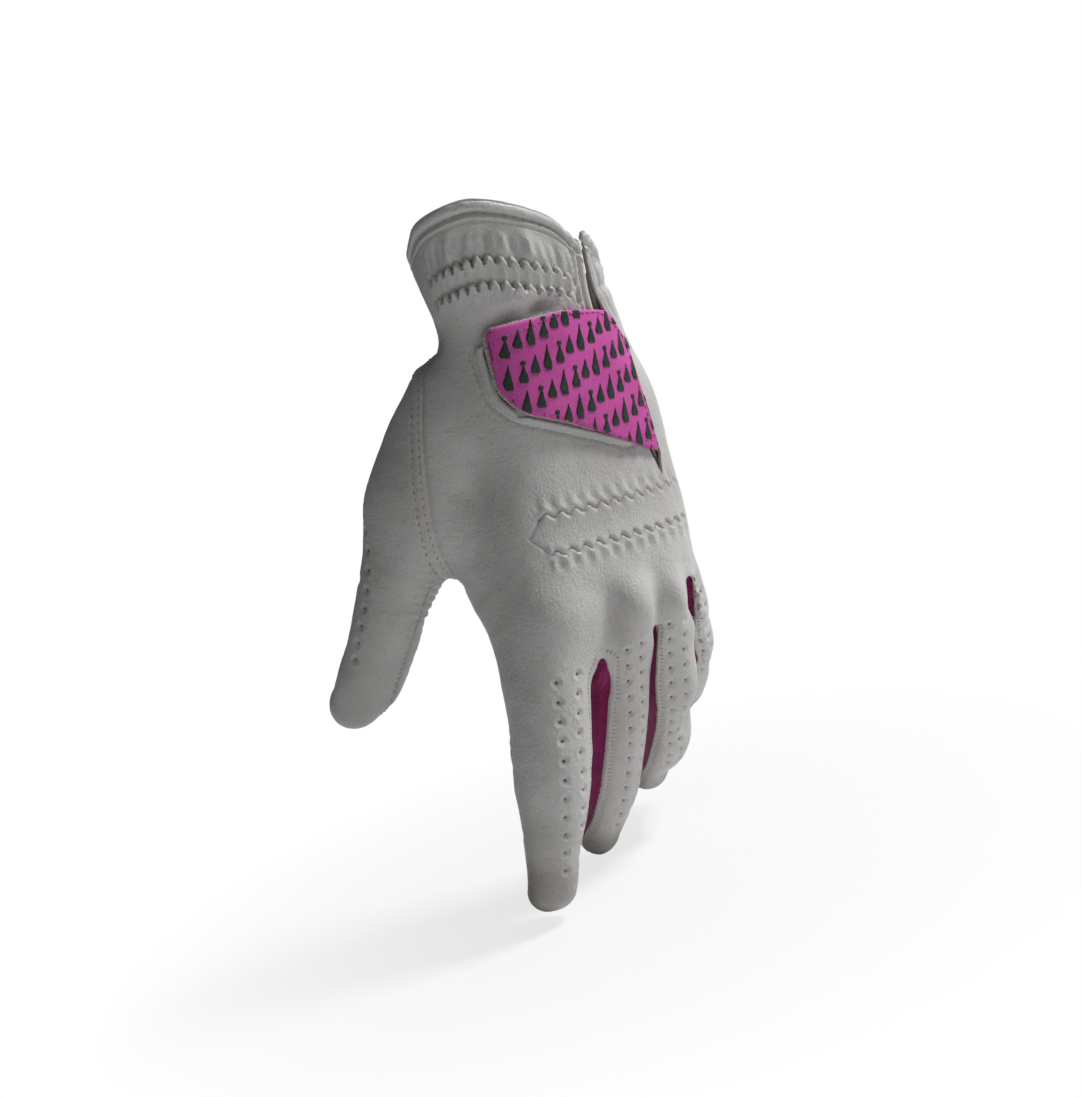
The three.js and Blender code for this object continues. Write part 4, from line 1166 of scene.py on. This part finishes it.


# The third colour is the dark tone that paints shade in grooves and dimples, and also tints the fingertips
# and the grain.
def leather_material(name, light, dark, shade_and_tint):
    m = Nodes(name)
    color = m.mottled(38, 4, light, dark, 0.35)
    # painted shade: darker where the leather lies below its neighbours
    color = m.mix(m.remap(m.attribute("hollow_shade"), -0.12, -0.8, 0, 0.75), color, shade_and_tint)
    # browner towards the fingertips, in soft patches
    brown_patches = m.remap(m.noise(120), 0.3, 0.7, 0.2, 0.55)
    color = m.mix(m.math("MULTIPLY", m.attribute("brown"), brown_patches), color, shade_and_tint)
    color = m.mix(m.remap(m.cells(PORES), 0.6, 0.95, 0, 0.16), color, shade_and_tint)
    pebbles = m.math("MULTIPLY", m.cells(PORES, "SMOOTH_F1"), -0.8)
    pebbles = m.math("ADD", pebbles, m.math("MULTIPLY", m.noise(2300, 2), 0.6))
    soft = m.bump(m.noise(420), 0.00025, 0.4, m.bump(pebbles, 0.0002, 0.9))
    rough = m.remap(m.noise(90), 0.3, 0.7, 0.36, 0.5)
    return m.finish(color, rough, soft, Specular_IOR_Level=0.5, Sheen_Weight=0.04, Sheen_Roughness=0.5)


def pink_leather():
    m = Nodes("pink_tab_leather")
    grain = m.cells(1900)
    color = m.mottled(55, 3, srgb(217, 84, 176), srgb(196, 62, 155), 0.35)
    color = m.mix(m.remap(grain, 0.5, 0.9, 0, 0.16), color, srgb(150, 40, 118))
    weave = m.math("ADD", m.noise(2300, 2, 0.6, (1, 1, 2.2)), m.math("MULTIPLY", grain, -0.7))
    return m.finish(color, m.remap(m.noise(140), 0.3, 0.7, 0.42, 0.56), m.bump(weave, 0.00014, 0.8),
                    Specular_IOR_Level=0.45, Sheen_Weight=0.12)


def knit(name, light, dark, pitch=0.0009):
    """A fine two-way stretch knit: rows of small loops."""
    m = Nodes(name)
    across, depth, up = (m.axis(i) for i in range(3))
    turn = 2 * math.pi / pitch
    rows = m.wave(m.math("ADD", up, m.math("MULTIPLY", depth, 0.4)), turn)
    columns = m.wave(m.math("ADD", depth, across), turn * 0.8)
    loops = m.math("ADD", m.math("MULTIPLY", rows, columns), m.noise(3000, 2))
    color = m.mix(m.remap(loops, -0.6, 1.5), dark, light)
    color = m.mottled(60, 3, color, dark, 0.35, share=0.35)
    return m.finish(color, 0.82, m.bump(loops, 0.00016, 0.7), Sheen_Weight=0.35, Sheen_Roughness=0.4)


def suede():
    m = Nodes("suede_side")
    color = m.mottled(70, 4, srgb(196, 192, 184), srgb(168, 162, 152))
    nap = m.math("ADD", m.noise(1800, 4, 0.7), m.math("MULTIPLY", m.noise(500, 2), 0.6))
    color = m.mix(m.remap(nap, 0.5, 1.2, 0, 0.3), color, srgb(140, 133, 122))
    return m.finish(color, 0.95, m.bump(nap, 0.0003, 0.7), Sheen_Weight=0.5, Sheen_Roughness=0.6)


def thread(name, light, dark):
    """Twisted sewing thread."""
    m = Nodes(name)
    twist = m.noise(5200, 1, 0.3, (1, 1, 0.35))
    color = m.mix(m.remap(twist, 0.4, 0.65), dark, light)
    return m.finish(color, 0.6, m.bump(twist, 0.0001, 0.8), Sheen_Weight=0.3)


def elastic():
    m = Nodes("elastic_web")
    rib = 0.0016
    weave = m.math("ADD", m.wave(m.axis(2), 2 * math.pi / rib), m.noise(2600, 2))
    color = m.mix(m.remap(weave, -0.7, 1.3), srgb(168, 167, 162), srgb(222, 221, 216))
    return m.finish(color, 0.8, m.bump(weave, 0.00022, 0.7), Sheen_Weight=0.3)


def tape(name, light, dark, scale):
    """The two halves of a hook and loop closure: close rows of small tufts or hooks."""
    m = Nodes(name)
    tufts = m.cells(scale, "F1", 0.35)
    color = m.mottled(80, 3, m.mix(m.remap(tufts, 0.1, 0.6), light, dark), dark, share=0.25)
    return m.finish(color, 0.7, m.bump(m.math("MULTIPLY", tufts, -1), 0.0005, 0.9), Sheen_Weight=0.4)


def print_ink():
    m = Nodes("tab_print")
    color = m.mottled(900, 3, srgb(20, 38, 30), srgb(44, 62, 50), 0.4)
    return m.finish(color, m.remap(m.noise(300), 0.3, 0.7, 0.4, 0.6), m.bump(m.noise(2300, 2), 0.0001, 0.6))


# The third colours are the dark tones used for painted shade in hollows, the browner fingertips and the
# grain.
WHITE = leather_material("white_cabretta", srgb(206, 205, 203), srgb(192, 190, 187), srgb(118, 108, 97))
BINDING_WHITE = leather_material("white_binding", srgb(208, 208, 206), srgb(195, 194, 191),
                                 srgb(132, 124, 114))
SUEDE = suede()
PINK = pink_leather()
KNIT = knit("pink_knit", srgb(176, 34, 122), srgb(128, 12, 82))
THREAD = thread("white_thread", srgb(206, 203, 196), srgb(160, 152, 140))
TAN_THREAD = thread("seam_thread", srgb(194, 182, 166), srgb(158, 144, 126))
PINK_THREAD = thread("pink_thread", srgb(206, 92, 172), srgb(150, 44, 116))
ELASTIC_WEB = elastic()
LOOPS = tape("loop_pile", srgb(196, 60, 150), srgb(120, 20, 84), 1100)
HOOKS = tape("hook_tape", srgb(214, 212, 206), srgb(160, 156, 148), 900)
INK = print_ink()

# ---------- the leather panels ----------
any_finger = np.logical_or.reduce([side[name] for name in FINGERS])
on_flap = side["flap"] & ~any_finger
body = ~any_finger & ~side["thumb"] & ~on_flap
plain = body & ~side["strip"]
for piece, chosen, how, nodes in (
        ("hand_leather", plain & ~side["seam"], "knuckles", ("hand_leather", "knuckle_leather")),
        ("thumb_base", plain & side["seam"], "knuckles", ("thumb_base_leather",)),
        ("thumb", side["thumb"] & ~side["thumb_tip"], "thumb", ("thumb_leather",)),
        ("thumb_tip", side["thumb"] & side["thumb_tip"], "thumb_tip", ("thumb_tip_leather",)),
        ("cuff_flap", on_flap, "flap", ("cuff_flap_leather",))):
    panel(piece + "_skin", chosen, how, WHITE, "white_leather", *nodes)

face_centre = leather["points"][leather["faces"]].mean(1)
NEAR_KNUCKLE = 0.12  # share of a finger's length where the strips are told apart
middles = [DIGITS[name].at(NEAR_KNUCKLE)[0][0][0] for name in FINGERS]
for i, (a, b, _, _) in enumerate(GAPS):
    between = (face_centre[:, 0] > middles[i]) & (face_centre[:, 0] < middles[i + 1])
    chosen = body & side["strip"] & between
    panel(f"fourchette_{a}_{b}_knit", chosen, "knuckles", KNIT, "pink_fabric", f"fourchette_{a}_{b}")
SIDES = {"index": ("outer",), "middle": ("thumb", "outer"), "ring": ("thumb", "outer"), "little": ("thumb",)}
for name, strips in SIDES.items():
    panel(f"{name}_skin", side[name] & ~side["strip"], name, WHITE, "white_leather", f"{name}_leather")
    outer = np.zeros(len(face_centre))
    outer[side[name]] = digit_coordinates(DIGITS[name], face_centre[side[name]])["u"]
    for strip_side in strips:
        chosen = side[name] & side["strip"] & (outer > 0 if strip_side == "outer" else outer < 0)
        node = f"{name}_fourchette_{strip_side}_side"
        panel(f"{name}_{strip_side}_side_knit", chosen, name, KNIT, "pink_fabric", node)


# ---------- the cuff's rolled edge ----------
def binding(name, angles, how, *nodes):
    """A soft rolled edge round part of the opening, with rounded ends."""
    around, verts, tris = 16, [], []
    for k, angle in enumerate(angles):
        hit, normal = on_round(math.radians(angle), 1.5)
        cx, cy, a, b = (float(v) for v in hand_section(hit[2]))
        out = unit(np.array([hit[0] - cx, hit[1] - cy, 0]) + 6 * normal * (1, 1, 0.3))
        out = unit(out - np.array([0, 0, out[2] * 0.6]))
        up = unit(np.array([0, 0, 1]) - out * out[2])
        puff = 1 + 0.06 * math.sin(k * 1.3) + 0.04 * math.sin(k * 0.47 + 1)
        end = min(k, len(angles) - 1 - k)
        closing = (0.55, 0.92, 1)[min(end, 2)]
        centre = hit - out * LEATHER * 0.45
        for j in range(around):
            turn = 2 * math.pi * j / around
            c, s = math.cos(turn), math.sin(turn)
            radial = np.sign(c) * abs(c) ** 0.8 * 1.05 * puff * closing
            vertical = np.sign(s) * abs(s) ** 0.9 * 1.4 * closing
            verts.append(centre + out * radial + up * vertical)
    for k in range(len(angles) - 1):
        for j in range(around):
            a, b = k * around + j, k * around + (j + 1) % around
            tris += [(a, b, b + around), (a, b + around, a + around)]
    for first, reverse in ((0, True), ((len(angles) - 1) * around, False)):
        verts.append(np.mean(verts[first:first + around], axis=0))
        for j in range(around):
            t = (first + j, first + (j + 1) % around, len(verts) - 1)
            tris.append(t if not reverse else t[::-1])
    verts, tris = np.array(verts), np.array(tris)
    a, b, c = (verts[tris[:, i]] for i in range(3))
    if np.einsum("ij,ij->i", a - verts.mean(0), np.cross(b - verts.mean(0), c - verts.mean(0))).sum() < 0:
        tris = tris[:, ::-1]
    plain = np.zeros(len(verts))
    obj = new_object(name, verts, tris, attributes=dict(hollow_shade=plain, brown=plain))
    divide = obj.modifiers.new("soft", "SUBSURF")
    divide.levels = divide.render_levels = 1
    finish_piece(obj, how, [BINDING_WHITE], "white_leather", *nodes)


binding("cuff_binding_roll", np.arange(65, 351, 2.2), "hand", "cuff_binding")
binding("cuff_flap_binding_roll", [*np.arange(-8, 59, 2.2), 59.4], "flap", "cuff_flap_binding")

# ---------- stitching ----------
# Each kind of row: its pitch, the share of it that a stitch takes, its thickness and how deep it is sunk.
ZIGZAG, PLAIN, WINDOW_ROW, SLIT_ROW = (1.9, 0.8, 0.28, 0.12), (3, 0.62, 0.3), (2, 0.8, 0.2), (2.2, 0.62, 0.26)
SEAM_ROW, CLOSING_ROW, TAB_ROW = (2.4, 0.62, 0.27), (2, 0.62, 0.24), (2.2, 0.7, 0.2, 0.08)
OVERCAST = (1.5, 0.6, 0.24, 0.02)
BAR = 0.5  # half length of an overcast stitch
x, y, z = points.T
depth = rim_height(x, y) - z
on_flap = flap_field(points, BACK)
slit_near = polygon_distance(x, z, SLIT)
cuff = (z > WRIST_LOW) & ~(BACK & (slit_near > -1.2))
for name, how, part in (("cuff", "hand", on_flap < 0), ("cuff_flap", "flap", on_flap > 0)):
    line = isoline(depth - CUFF_STITCH, cuff & part)
    sew(name + "_stitches", line, how, THREAD, PLAIN, name + "_stitching")
s = wrist_coordinate(points)
on_wrist = (z > WRIST_LOW) & (s > 34) & (s < 90) & (on_flap < 0)
on_knuckles = BACK & (x > KNUCKLE_SPAN[0] + 0.3) & (x < KNUCKLE_SPAN[1]) & (z > 10) & (z < 44)
for which, wrist_row, knuckle_row in zip(("upper", "lower"), WRIST_ROWS, KNUCKLE_ROWS):
    name = f"wrist_zigzag_{which}"
    line = depth - row_depth(wrist_row, x) - scallops(s)
    sew(name + "_stitches", isoline(line, on_wrist), "hand", THREAD, ZIGZAG, name)
    name = f"knuckle_zigzag_{which}"
    line = z - knuckle_row - KNUCKLE_SLOPE * x - triangle_wave(x, KNUCKLE_PITCH, KNUCKLE_TOOTH)
    sew(name + "_stitches", isoline(line, on_knuckles), "knuckles", THREAD, ZIGZAG, name)
round_window = BACK & (z > WINDOW_LOW) & (z < 88) & (x < 9)
line = polygon_distance(x, z, WINDOW) + WINDOW_STITCH
sew("window_stitches", isoline(line, round_window), "hand", THREAD, WINDOW_ROW, "window_stitching")
beside_slit = BACK & (z > 90) & (depth > 4.5) & (x < 8)
seam = thumb_seam_field(points)
on_seam = (where["thumb"]["t"] < 0.6) & (z > 16) & (x < -20)
for which, from_slit, from_seam in zip(("inner", "outer"), SLIT_STITCH, SEAM_STITCH):
    line = isoline(slit_near + from_slit, beside_slit)
    sew(f"slit_{which}_stitches", line, "hand", THREAD, SLIT_ROW, f"slit_stitching_{which}")
    line = isoline(seam - from_seam, on_seam)
    node = f"thumb_seam_stitching_{which}"
    sew(f"thumb_seam_{which}_stitches", line, "knuckles", TAN_THREAD, SEAM_ROW, node)

# Fine overcast stitches beside each strip between the fingers.
line = fourchette_field(points, where) + 1.5
for name in FINGERS:
    c = where[name]
    mine = nearest_to[name] & (c["r"] < 1.3)
    beyond = c["t"] > SPLIT_FINGER
    for piece, part, how in (("edge", beyond, name), ("knuckle_edge", ~beyond & (z < 4), "knuckles")):
        sew(f"{name}_{piece}_stitches", isoline(line, mine & part), how, THREAD, OVERCAST, across=BAR)

c = where["thumb"]
on_tip = nearest_to["thumb"] & (c["t"] > 0.68) & (c["t"] < 0.97) & (c["u"] > 0)
line = isoline(thumb_closing(c) + 1.3, on_tip)
sew("thumb_tip_closing_stitches", line, "thumb_tip", TAN_THREAD, CLOSING_ROW)

# ---------- sewn-on and hidden sheets ----------
TAB = rounded([(-30.6, 92.6), (-6, 91.6), (11, 87.6), (17.6, 77), (17.6, 42), (4, 49.6), (-12, 59.4),
               (-26.2, 66.6), (-30.9, 74.5)], 3.2)
TAB_BOX = ((-34, -22, 38), (22, 6, 97))
SLIT_BOX = ((-2, -22, 34), (24, 2, 118))
LANE, DROP = 8.6, 4.2  # spacing of the printed rows, and of the drops in a row
BACK_OF_WRIST, WRIST_BAND = -14, (11.5, 24)  # y of the elastic, and its edges' depths below the opening


def over_back(x, z, height):
    """The point at a height above the back of the hand, and the outward normal there."""
    low, high, step = -45.0, 0.0, 0.3
    for _ in range(30):
        y = (low + high) / 2
        low, high = (y, high) if float(hand_distance(x, y, z)) > height else (low, y)
    slope = [float(hand_distance(x + dx, y + dy, z + dz)) - height for dx, dy, dz in np.eye(3) * step]
    return np.concatenate([[x, y, z], unit(slope)])


def below_rim(x, z):
    return rim_height(x, BACK_OF_WRIST) - z


def distance_in(outline):
    return lambda x, z: polygon_distance(x, z, outline)


tab_distance, window_distance = distance_in(TAB), distance_in(WINDOW)


def piping(x, z):
    away = -window_distance(x, z)
    left_or_low = np.maximum(-27 - x, 66 - z)
    return np.minimum.reduce([away - 0.1, 2.5 - away, 88.5 - z, 10 - x, left_or_low * 2])


def strip_beside_slit(near, far):
    def region(x, z):
        off = x - slit_middle(z)
        top = 118 - 0.46 * (x + 8) - 4 - z
        return np.minimum.reduce([off - near, far - off, z - 38, top])
    return region


def wrist_band(x, z):
    top, bottom = WRIST_BAND
    return np.minimum.reduce([below_rim(x, z) - top, bottom - below_rim(x, z), z - 92, 1.5 - x, x + 35])


def knuckle_band(x, z):
    upper, lower = (line + KNUCKLE_SLOPE * x for line in KNUCKLE_ROWS)
    return np.minimum.reduce([z - lower + 1, upper + 1 - z, 24 - x, x + 29])


def drops(x, z):
    """A plain pattern of slanted drops and dots printed on the tab."""
    along, over = x * 0.98 + z * 0.2, z * 0.98 - x * 0.2
    place = along / DROP + 0.37 * np.floor(over / LANE)
    kind = np.floor(place) % 3
    du, dv = (place % 1 - 0.5) * DROP, (over / LANE % 1 - 0.5) * LANE
    reach = np.where(kind == 0, 3.7, 2.7)
    dv = dv + np.where(kind == 1, 0.9, 0)
    a, b = du * 0.9 - dv * 0.43, du * 0.43 + dv * 0.9
    wide = 1.95 * np.clip(1 - (b + reach) / (2 * reach), 0.12, 0.75)
    drop = np.minimum(wide - np.abs(a), reach - np.abs(b))
    dot = 0.85 - np.hypot(du - 1.1, dv - 2.7) - 9 * (kind != 1)
    return np.minimum(np.maximum(drop, dot), tab_distance(x, z) - 0.3)


def shrunk(distance, by):
    return lambda x, z: distance(x, z) - by


def lining(x, z):
    return np.minimum(tab_distance(x, z) - 0.3, x + 4)


def hooks(x, z):
    return np.minimum(tab_distance(x, z) + 0.35, -5 - x)


FACING, BAND = (-2.2, -1.2), (-2.3, -1.3)  # heights of the sheets under the leather
for name, region, heights, how, material, slot, node, box, shape in (
        ("tab_pink_leather", tab_distance, (1.2, 2.3), "tab", PINK, "pink_leather", "tab_leather", TAB_BOX,
         dict(crown=0.35)),
        ("tab_lining_sheet", lining, (0.4, 1.1), "tab", SUEDE, "suede_side", "tab_lining", TAB_BOX, {}),
        ("tab_hook_sheet", hooks, (0.3, 1.15), "tab", HOOKS, "hook_tape", "tab_hook_patch", TAB_BOX, {}),
        ("window_backing_knit", shrunk(window_distance, -2.5), BAND, "hand", KNIT, "pink_fabric",
         "window_backing", ((-36, -20, 42), (13, 6, 94)), {}),
        ("loop_pile_patch", shrunk(window_distance, 1.2), (-1.2, -0.2), "hand", LOOPS, "hook_tape",
         "loop_patch", ((-34, -20, 44), (11, 6, 92)), {}),
        ("window_piping_band", piping, (0.1, 1.25), "hand", BINDING_WHITE, "white_leather", "window_piping",
         ((-37, -20, 38), (15, 6, 94)), dict(rounding=1.6)),
        ("slit_facing_strip", strip_beside_slit(-4.6, -0.9), FACING, "hand", SUEDE, "suede_side",
         "slit_facing", SLIT_BOX, {}),
        ("cuff_flap_facing_strip", strip_beside_slit(1.2, 4.2), FACING, "cuff_flap", SUEDE, "suede_side",
         "cuff_flap_facing", SLIT_BOX, {}),
        ("wrist_elastic_band", wrist_band, BAND, "hand", ELASTIC_WEB, "elastic", "wrist_elastic",
         ((-40, -24, 78), (6, 0, 124)), {}),
        ("knuckle_elastic_band", knuckle_band, BAND, "knuckles", ELASTIC_WEB, "elastic", "knuckle_elastic",
         ((-33, -18, 16), (28, 6, 42)), {})):
    sheet(name, region, heights, how, material, slot, node, box=box, **shape)

edge = rounded([(a * 0.955 - 0.3, b * 0.955 + 3.2) for a, b in TAB[::5]], 2)
line = resampled(np.array(edge + edge[:1]), 0.8)
chain = np.array([over_back(a, b, 2.62) for a, b in line])
sew("tab_edge_stitches", [chain], "tab", PINK_THREAD, TAB_ROW, "tab_stitching", slot="pink_thread")
sheet("tab_print_drops", drops, (1.9, 2.6), "tab", INK, "pink_leather", box=TAB_BOX, crown=0.35,
      crown_from=tab_distance, rounding=0.15, voxel=FINE * 0.7, rounds=1)


# ---------- stage ----------
LIGHTS = (  # name, azimuth and elevation seen from the back of the hand, distance, size, power
    ("key", 58, 50, 1.1, 0.22, 11), ("side", 105, 15, 1.2, 0.5, 0.9), ("front", -10, 45, 1.6, 0.8, 0.6),
    ("left", -95, 20, 1.2, 0.6, 0.25),
)


def area_light(name, azimuth, elevation, distance, size, power):
    azimuth, elevation = math.radians(azimuth), math.radians(elevation)
    away = Vector((math.sin(azimuth), -math.cos(azimuth), math.tan(elevation))).normalized()
    data = bpy.data.lights.new(name, "AREA")
    data.energy, data.size = power, size
    light = bpy.data.objects.new(name, data)
    light.location = Vector(row((-5, 5, 20))) + away * distance
    light.rotation_euler = away.to_track_quat("Z", "Y").to_euler()
    bpy.context.scene.collection.objects.link(light)


def pale_floor():
    data = bpy.data.meshes.new("floor")
    reach, z = 6.0, CAD_BOX[0][2] - 0.001
    corners = [(x * reach, y * reach, z) for x, y in ((-1, -1), (1, -1), (1, 1), (-1, 1))]
    data.from_pydata(corners, [], [(0, 1, 2, 3)])
    floor = bpy.data.objects.new("floor", data)
    m = Nodes("floor_paper")
    m.finish(m.mix(m.remap(m.noise(6), 0.4, 0.6, 0, 0.05), srgb(250, 250, 250), srgb(240, 240, 240)), 0.9)
    away = m.node("VectorMath", 1, dict(operation="LENGTH"), Vector=m.place())
    # painted light: the floor glows to the camera, at 0.45 near the glove and fully from 0.2 m out, so it
    # looks white with a soft shadow only under the glove
    seen = m.math("MULTIPLY", m.remap(away, 0.0, 0.2, 0.45, 1.0), m.node("LightPath", 0), clamp=True)
    glow = m.tree.nodes.new("ShaderNodeEmission")
    blend = m.tree.nodes.new("ShaderNodeMixShader")
    for socket, value in zip(blend.inputs, (seen, m.shader.outputs[0], glow.outputs[0])):
        m.put(socket, value)
    m.put(m.tree.nodes["Material Output"].inputs["Surface"], blend.outputs[0])
    data.materials.append(m.material)
    bpy.context.scene.collection.objects.link(floor)


def white_world():
    world = bpy.data.worlds.new("studio")
    world.use_nodes = True
    bpy.context.scene.world = world
    tree = world.node_tree
    seen, fill = tree.nodes["Background"], tree.nodes.new("ShaderNodeBackground")
    seen.inputs["Color"].default_value = (1, 1, 1, 1)
    seen.inputs["Strength"].default_value = 1.0
    fill.inputs["Color"].default_value = (0.96, 0.98, 1, 1)
    fill.inputs["Strength"].default_value = 0.07
    path, mix = tree.nodes.new("ShaderNodeLightPath"), tree.nodes.new("ShaderNodeMixShader")
    tree.links.new(path.outputs["Is Camera Ray"], mix.inputs[0])
    tree.links.new(fill.outputs[0], mix.inputs[1])
    tree.links.new(seen.outputs[0], mix.inputs[2])
    tree.links.new(mix.outputs[0], tree.nodes["World Output"].inputs["Surface"])


VIEW = dict(azimuth=-33.87, elevation=11.78, roll=-14.95, distance=602.06, aim=(-5, 5, 10), focal=2000.86,
            shift=(56.46, 29.73), long_side=1097)
SENSOR = 36.0


def camera():
    az, el, roll = (math.radians(VIEW[key]) for key in ("azimuth", "elevation", "roll"))
    back = np.array([math.sin(az) * math.cos(el), -math.cos(az) * math.cos(el), math.sin(el)])
    right = np.array([math.cos(az), math.sin(az), 0])
    up = np.cross(back, right)
    r, u = right * math.cos(roll) + up * math.sin(roll), up * math.cos(roll) - right * math.sin(roll)
    data = bpy.data.cameras.new("camera")
    data.sensor_width = SENSOR
    data.lens = VIEW["focal"] / VIEW["long_side"] * SENSOR
    data.shift_x, data.shift_y = -VIEW["shift"][0] / VIEW["long_side"], VIEW["shift"][1] / VIEW["long_side"]
    obj = bpy.data.objects.new("camera", data)
    eye = row(np.array(VIEW["aim"]) + VIEW["distance"] * back)
    rotation = np.stack([r, u, back], 1)
    matrix = np.eye(4)
    matrix[:3, :3], matrix[:3, 3] = rotation, eye
    obj.matrix_world = Matrix(matrix.tolist())
    bpy.context.scene.collection.objects.link(obj)
    bpy.context.scene.camera = obj


bpy.context.scene.view_settings.view_transform = "Standard"
for light in LIGHTS:
    area_light(*light)
pale_floor()
white_world()
camera()

bpy.context.view_layer.update()
